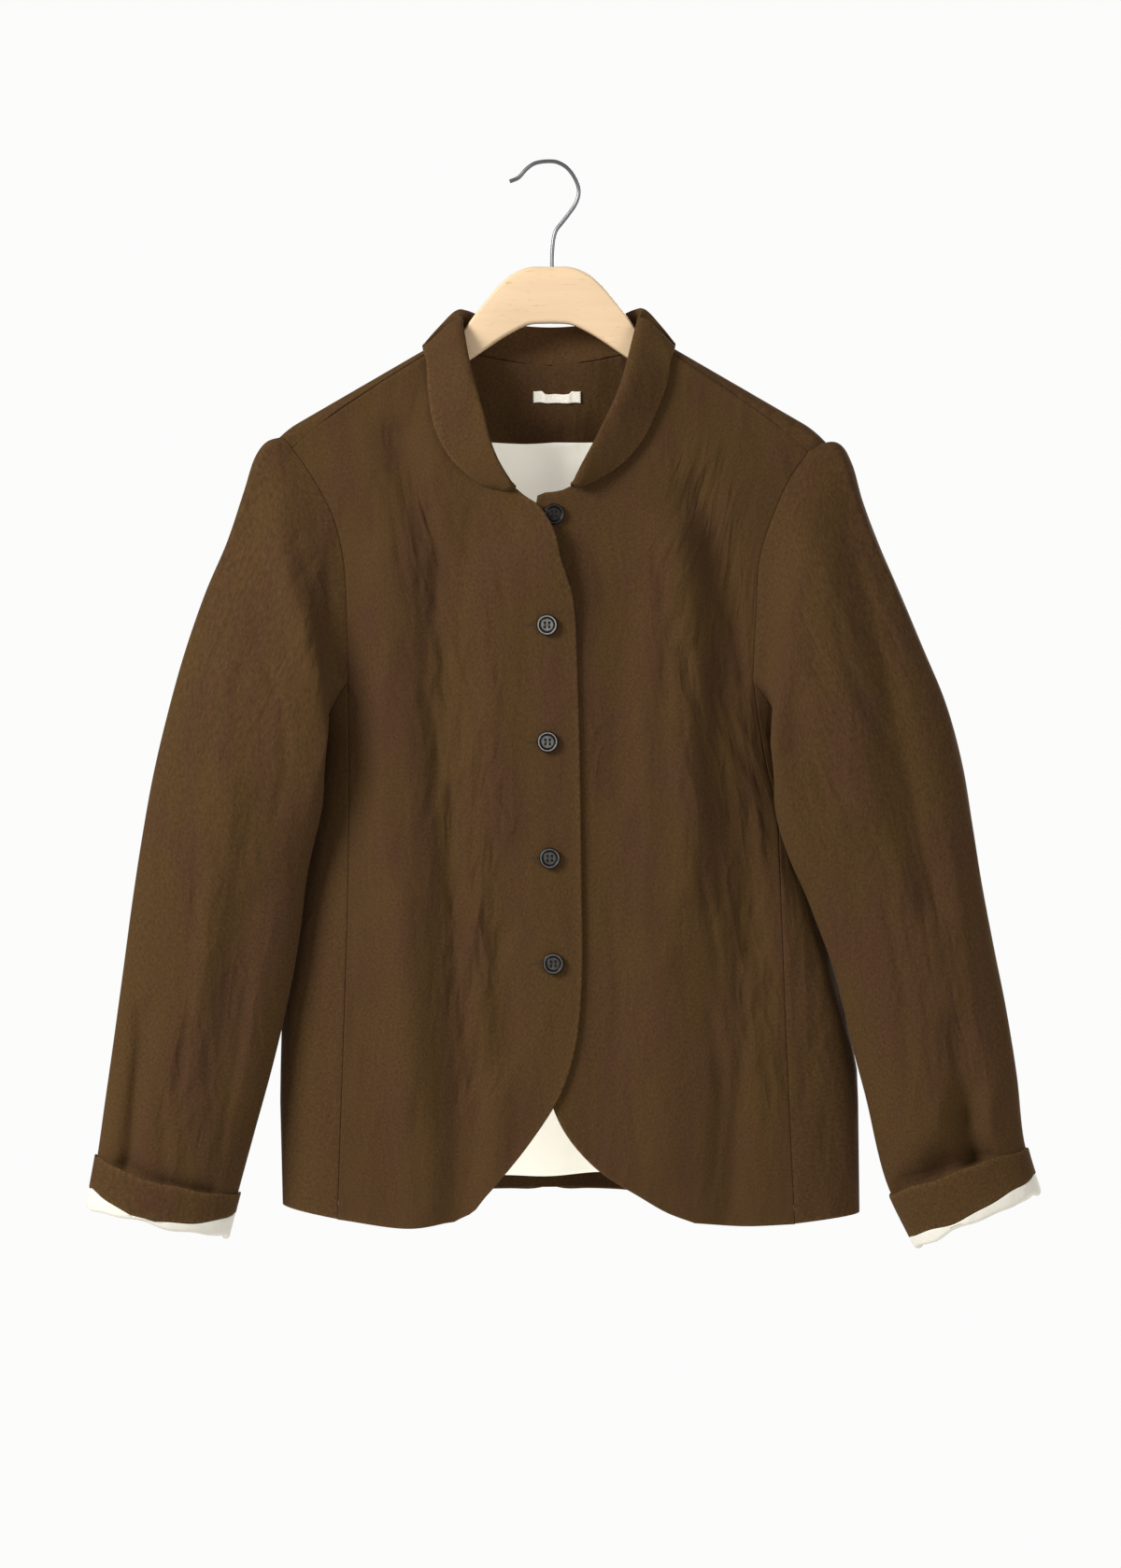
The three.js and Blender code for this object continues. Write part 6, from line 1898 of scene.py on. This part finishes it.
class JACKET_OT_stage(bpy.types.Operator):
    """Makes the floor, the lights and the camera"""

    bl_idname = "jacket.stage"
    bl_label = "Stage"

    def execute(self, context):
        stage = context.scene.jacket_stage
        context.scene.view_settings.view_transform = "Standard"
        self.add_floor(stage)
        self.add_air(context.scene, stage.air)
        for name, (place, size, share) in LIGHTS.items():
            self.add_light(name, place, size, stage.key * share)
        self.add_camera(context.scene, stage.distance)
        return {"FINISHED"}

    def add_floor(self, stage):
        half_x, half_y = FLOOR_HALF
        corners = [(-half_x, -half_y), (half_x, -half_y), (half_x, half_y), (-half_x, half_y)]
        mesh = bpy.data.meshes.new("floor")
        mesh.from_pydata([(x, y, FLOOR_Z) for x, y in corners], [], [(0, 1, 2, 3)])
        floor = new_object("floor", mesh)
        mesh.materials.append(stage_material(stage))

    def add_air(self, scene, strength):
        world = bpy.data.worlds.new("pale_air")
        world.use_nodes = True
        tree = world.node_tree
        inputs = tree.nodes["Background"].inputs
        seen = new_node(tree, "LightPath", {}).outputs["Is Camera Ray"]
        feed(tree, inputs["Color"], AIR_COLOUR)
        feed(tree, inputs["Strength"], spread(tree, seen, 0, 1, strength, AIR_SEEN))
        scene.world = world

    def add_light(self, name, place, size, power):
        light = bpy.data.lights.new(name, "AREA")
        light.size = size
        light.energy = power
        lamp = new_object(name, light)
        lamp.location = place
        aim = np.array((VIEW_X, VIEW_PLANE, VIEW_Z)) - np.array(place)
        lamp.rotation_euler = look_along(aim)

    def add_camera(self, scene, distance):
        camera = bpy.data.cameras.new("camera")
        camera.sensor_fit = "VERTICAL"
        camera.sensor_height = SENSOR
        camera.lens = SENSOR * distance / VIEW_HEIGHT
        stand = new_object("camera", camera)
        stand.location = (VIEW_X, VIEW_PLANE - distance, VIEW_Z)
        stand.rotation_euler = (math.pi / 2, 0, 0)
        scene.camera = stand


def look_along(direction):
    x, y, z = direction
    return (math.acos(-z / math.sqrt(x * x + y * y + z * z)), 0, math.atan2(-x, y))


class JACKET_PT_panel(bpy.types.Panel):
    """Lists what the jacket is made from"""

    bl_idname = "JACKET_PT_panel"
    bl_label = "Jacket"
    bl_space_type = "VIEW_3D"
    bl_region_type = "UI"
    bl_category = "Jacket"

    def draw(self, context):
        for operator in OPERATORS:
            self.layout.operator(operator.bl_idname)
        for name in GROUPS:
            values = getattr(context.scene, name)
            for value in values.__annotations__:
                self.layout.prop(values, value)


OPERATORS = (
    JACKET_OT_stage,
    JACKET_OT_hanger,
    JACKET_OT_body,
    JACKET_OT_sleeves,
    JACKET_OT_collar,
    JACKET_OT_inside,
    JACKET_OT_buttons,
)
GROUPS = {"jacket_cloth": JacketCloth, "jacket_hard": JacketHard, "jacket_stage": JacketStage}


def register():
    for group in GROUPS.values():
        bpy.utils.register_class(group)
    for operator in OPERATORS:
        bpy.utils.register_class(operator)
    bpy.utils.register_class(JACKET_PT_panel)
    for name, group in GROUPS.items():
        setattr(bpy.types.Scene, name, bpy.props.PointerProperty(type=group))


def unregister():
    for name in GROUPS:
        delattr(bpy.types.Scene, name)
    bpy.utils.unregister_class(JACKET_PT_panel)
    for operator in reversed(OPERATORS):
        bpy.utils.unregister_class(operator)
    for group in reversed(GROUPS.values()):
        bpy.utils.unregister_class(group)


def main():
    register()
    for operator in OPERATORS:
        kind, name = operator.bl_idname.split(".")
        getattr(getattr(bpy.ops, kind), name)()


if __name__ == "__main__":
    main()
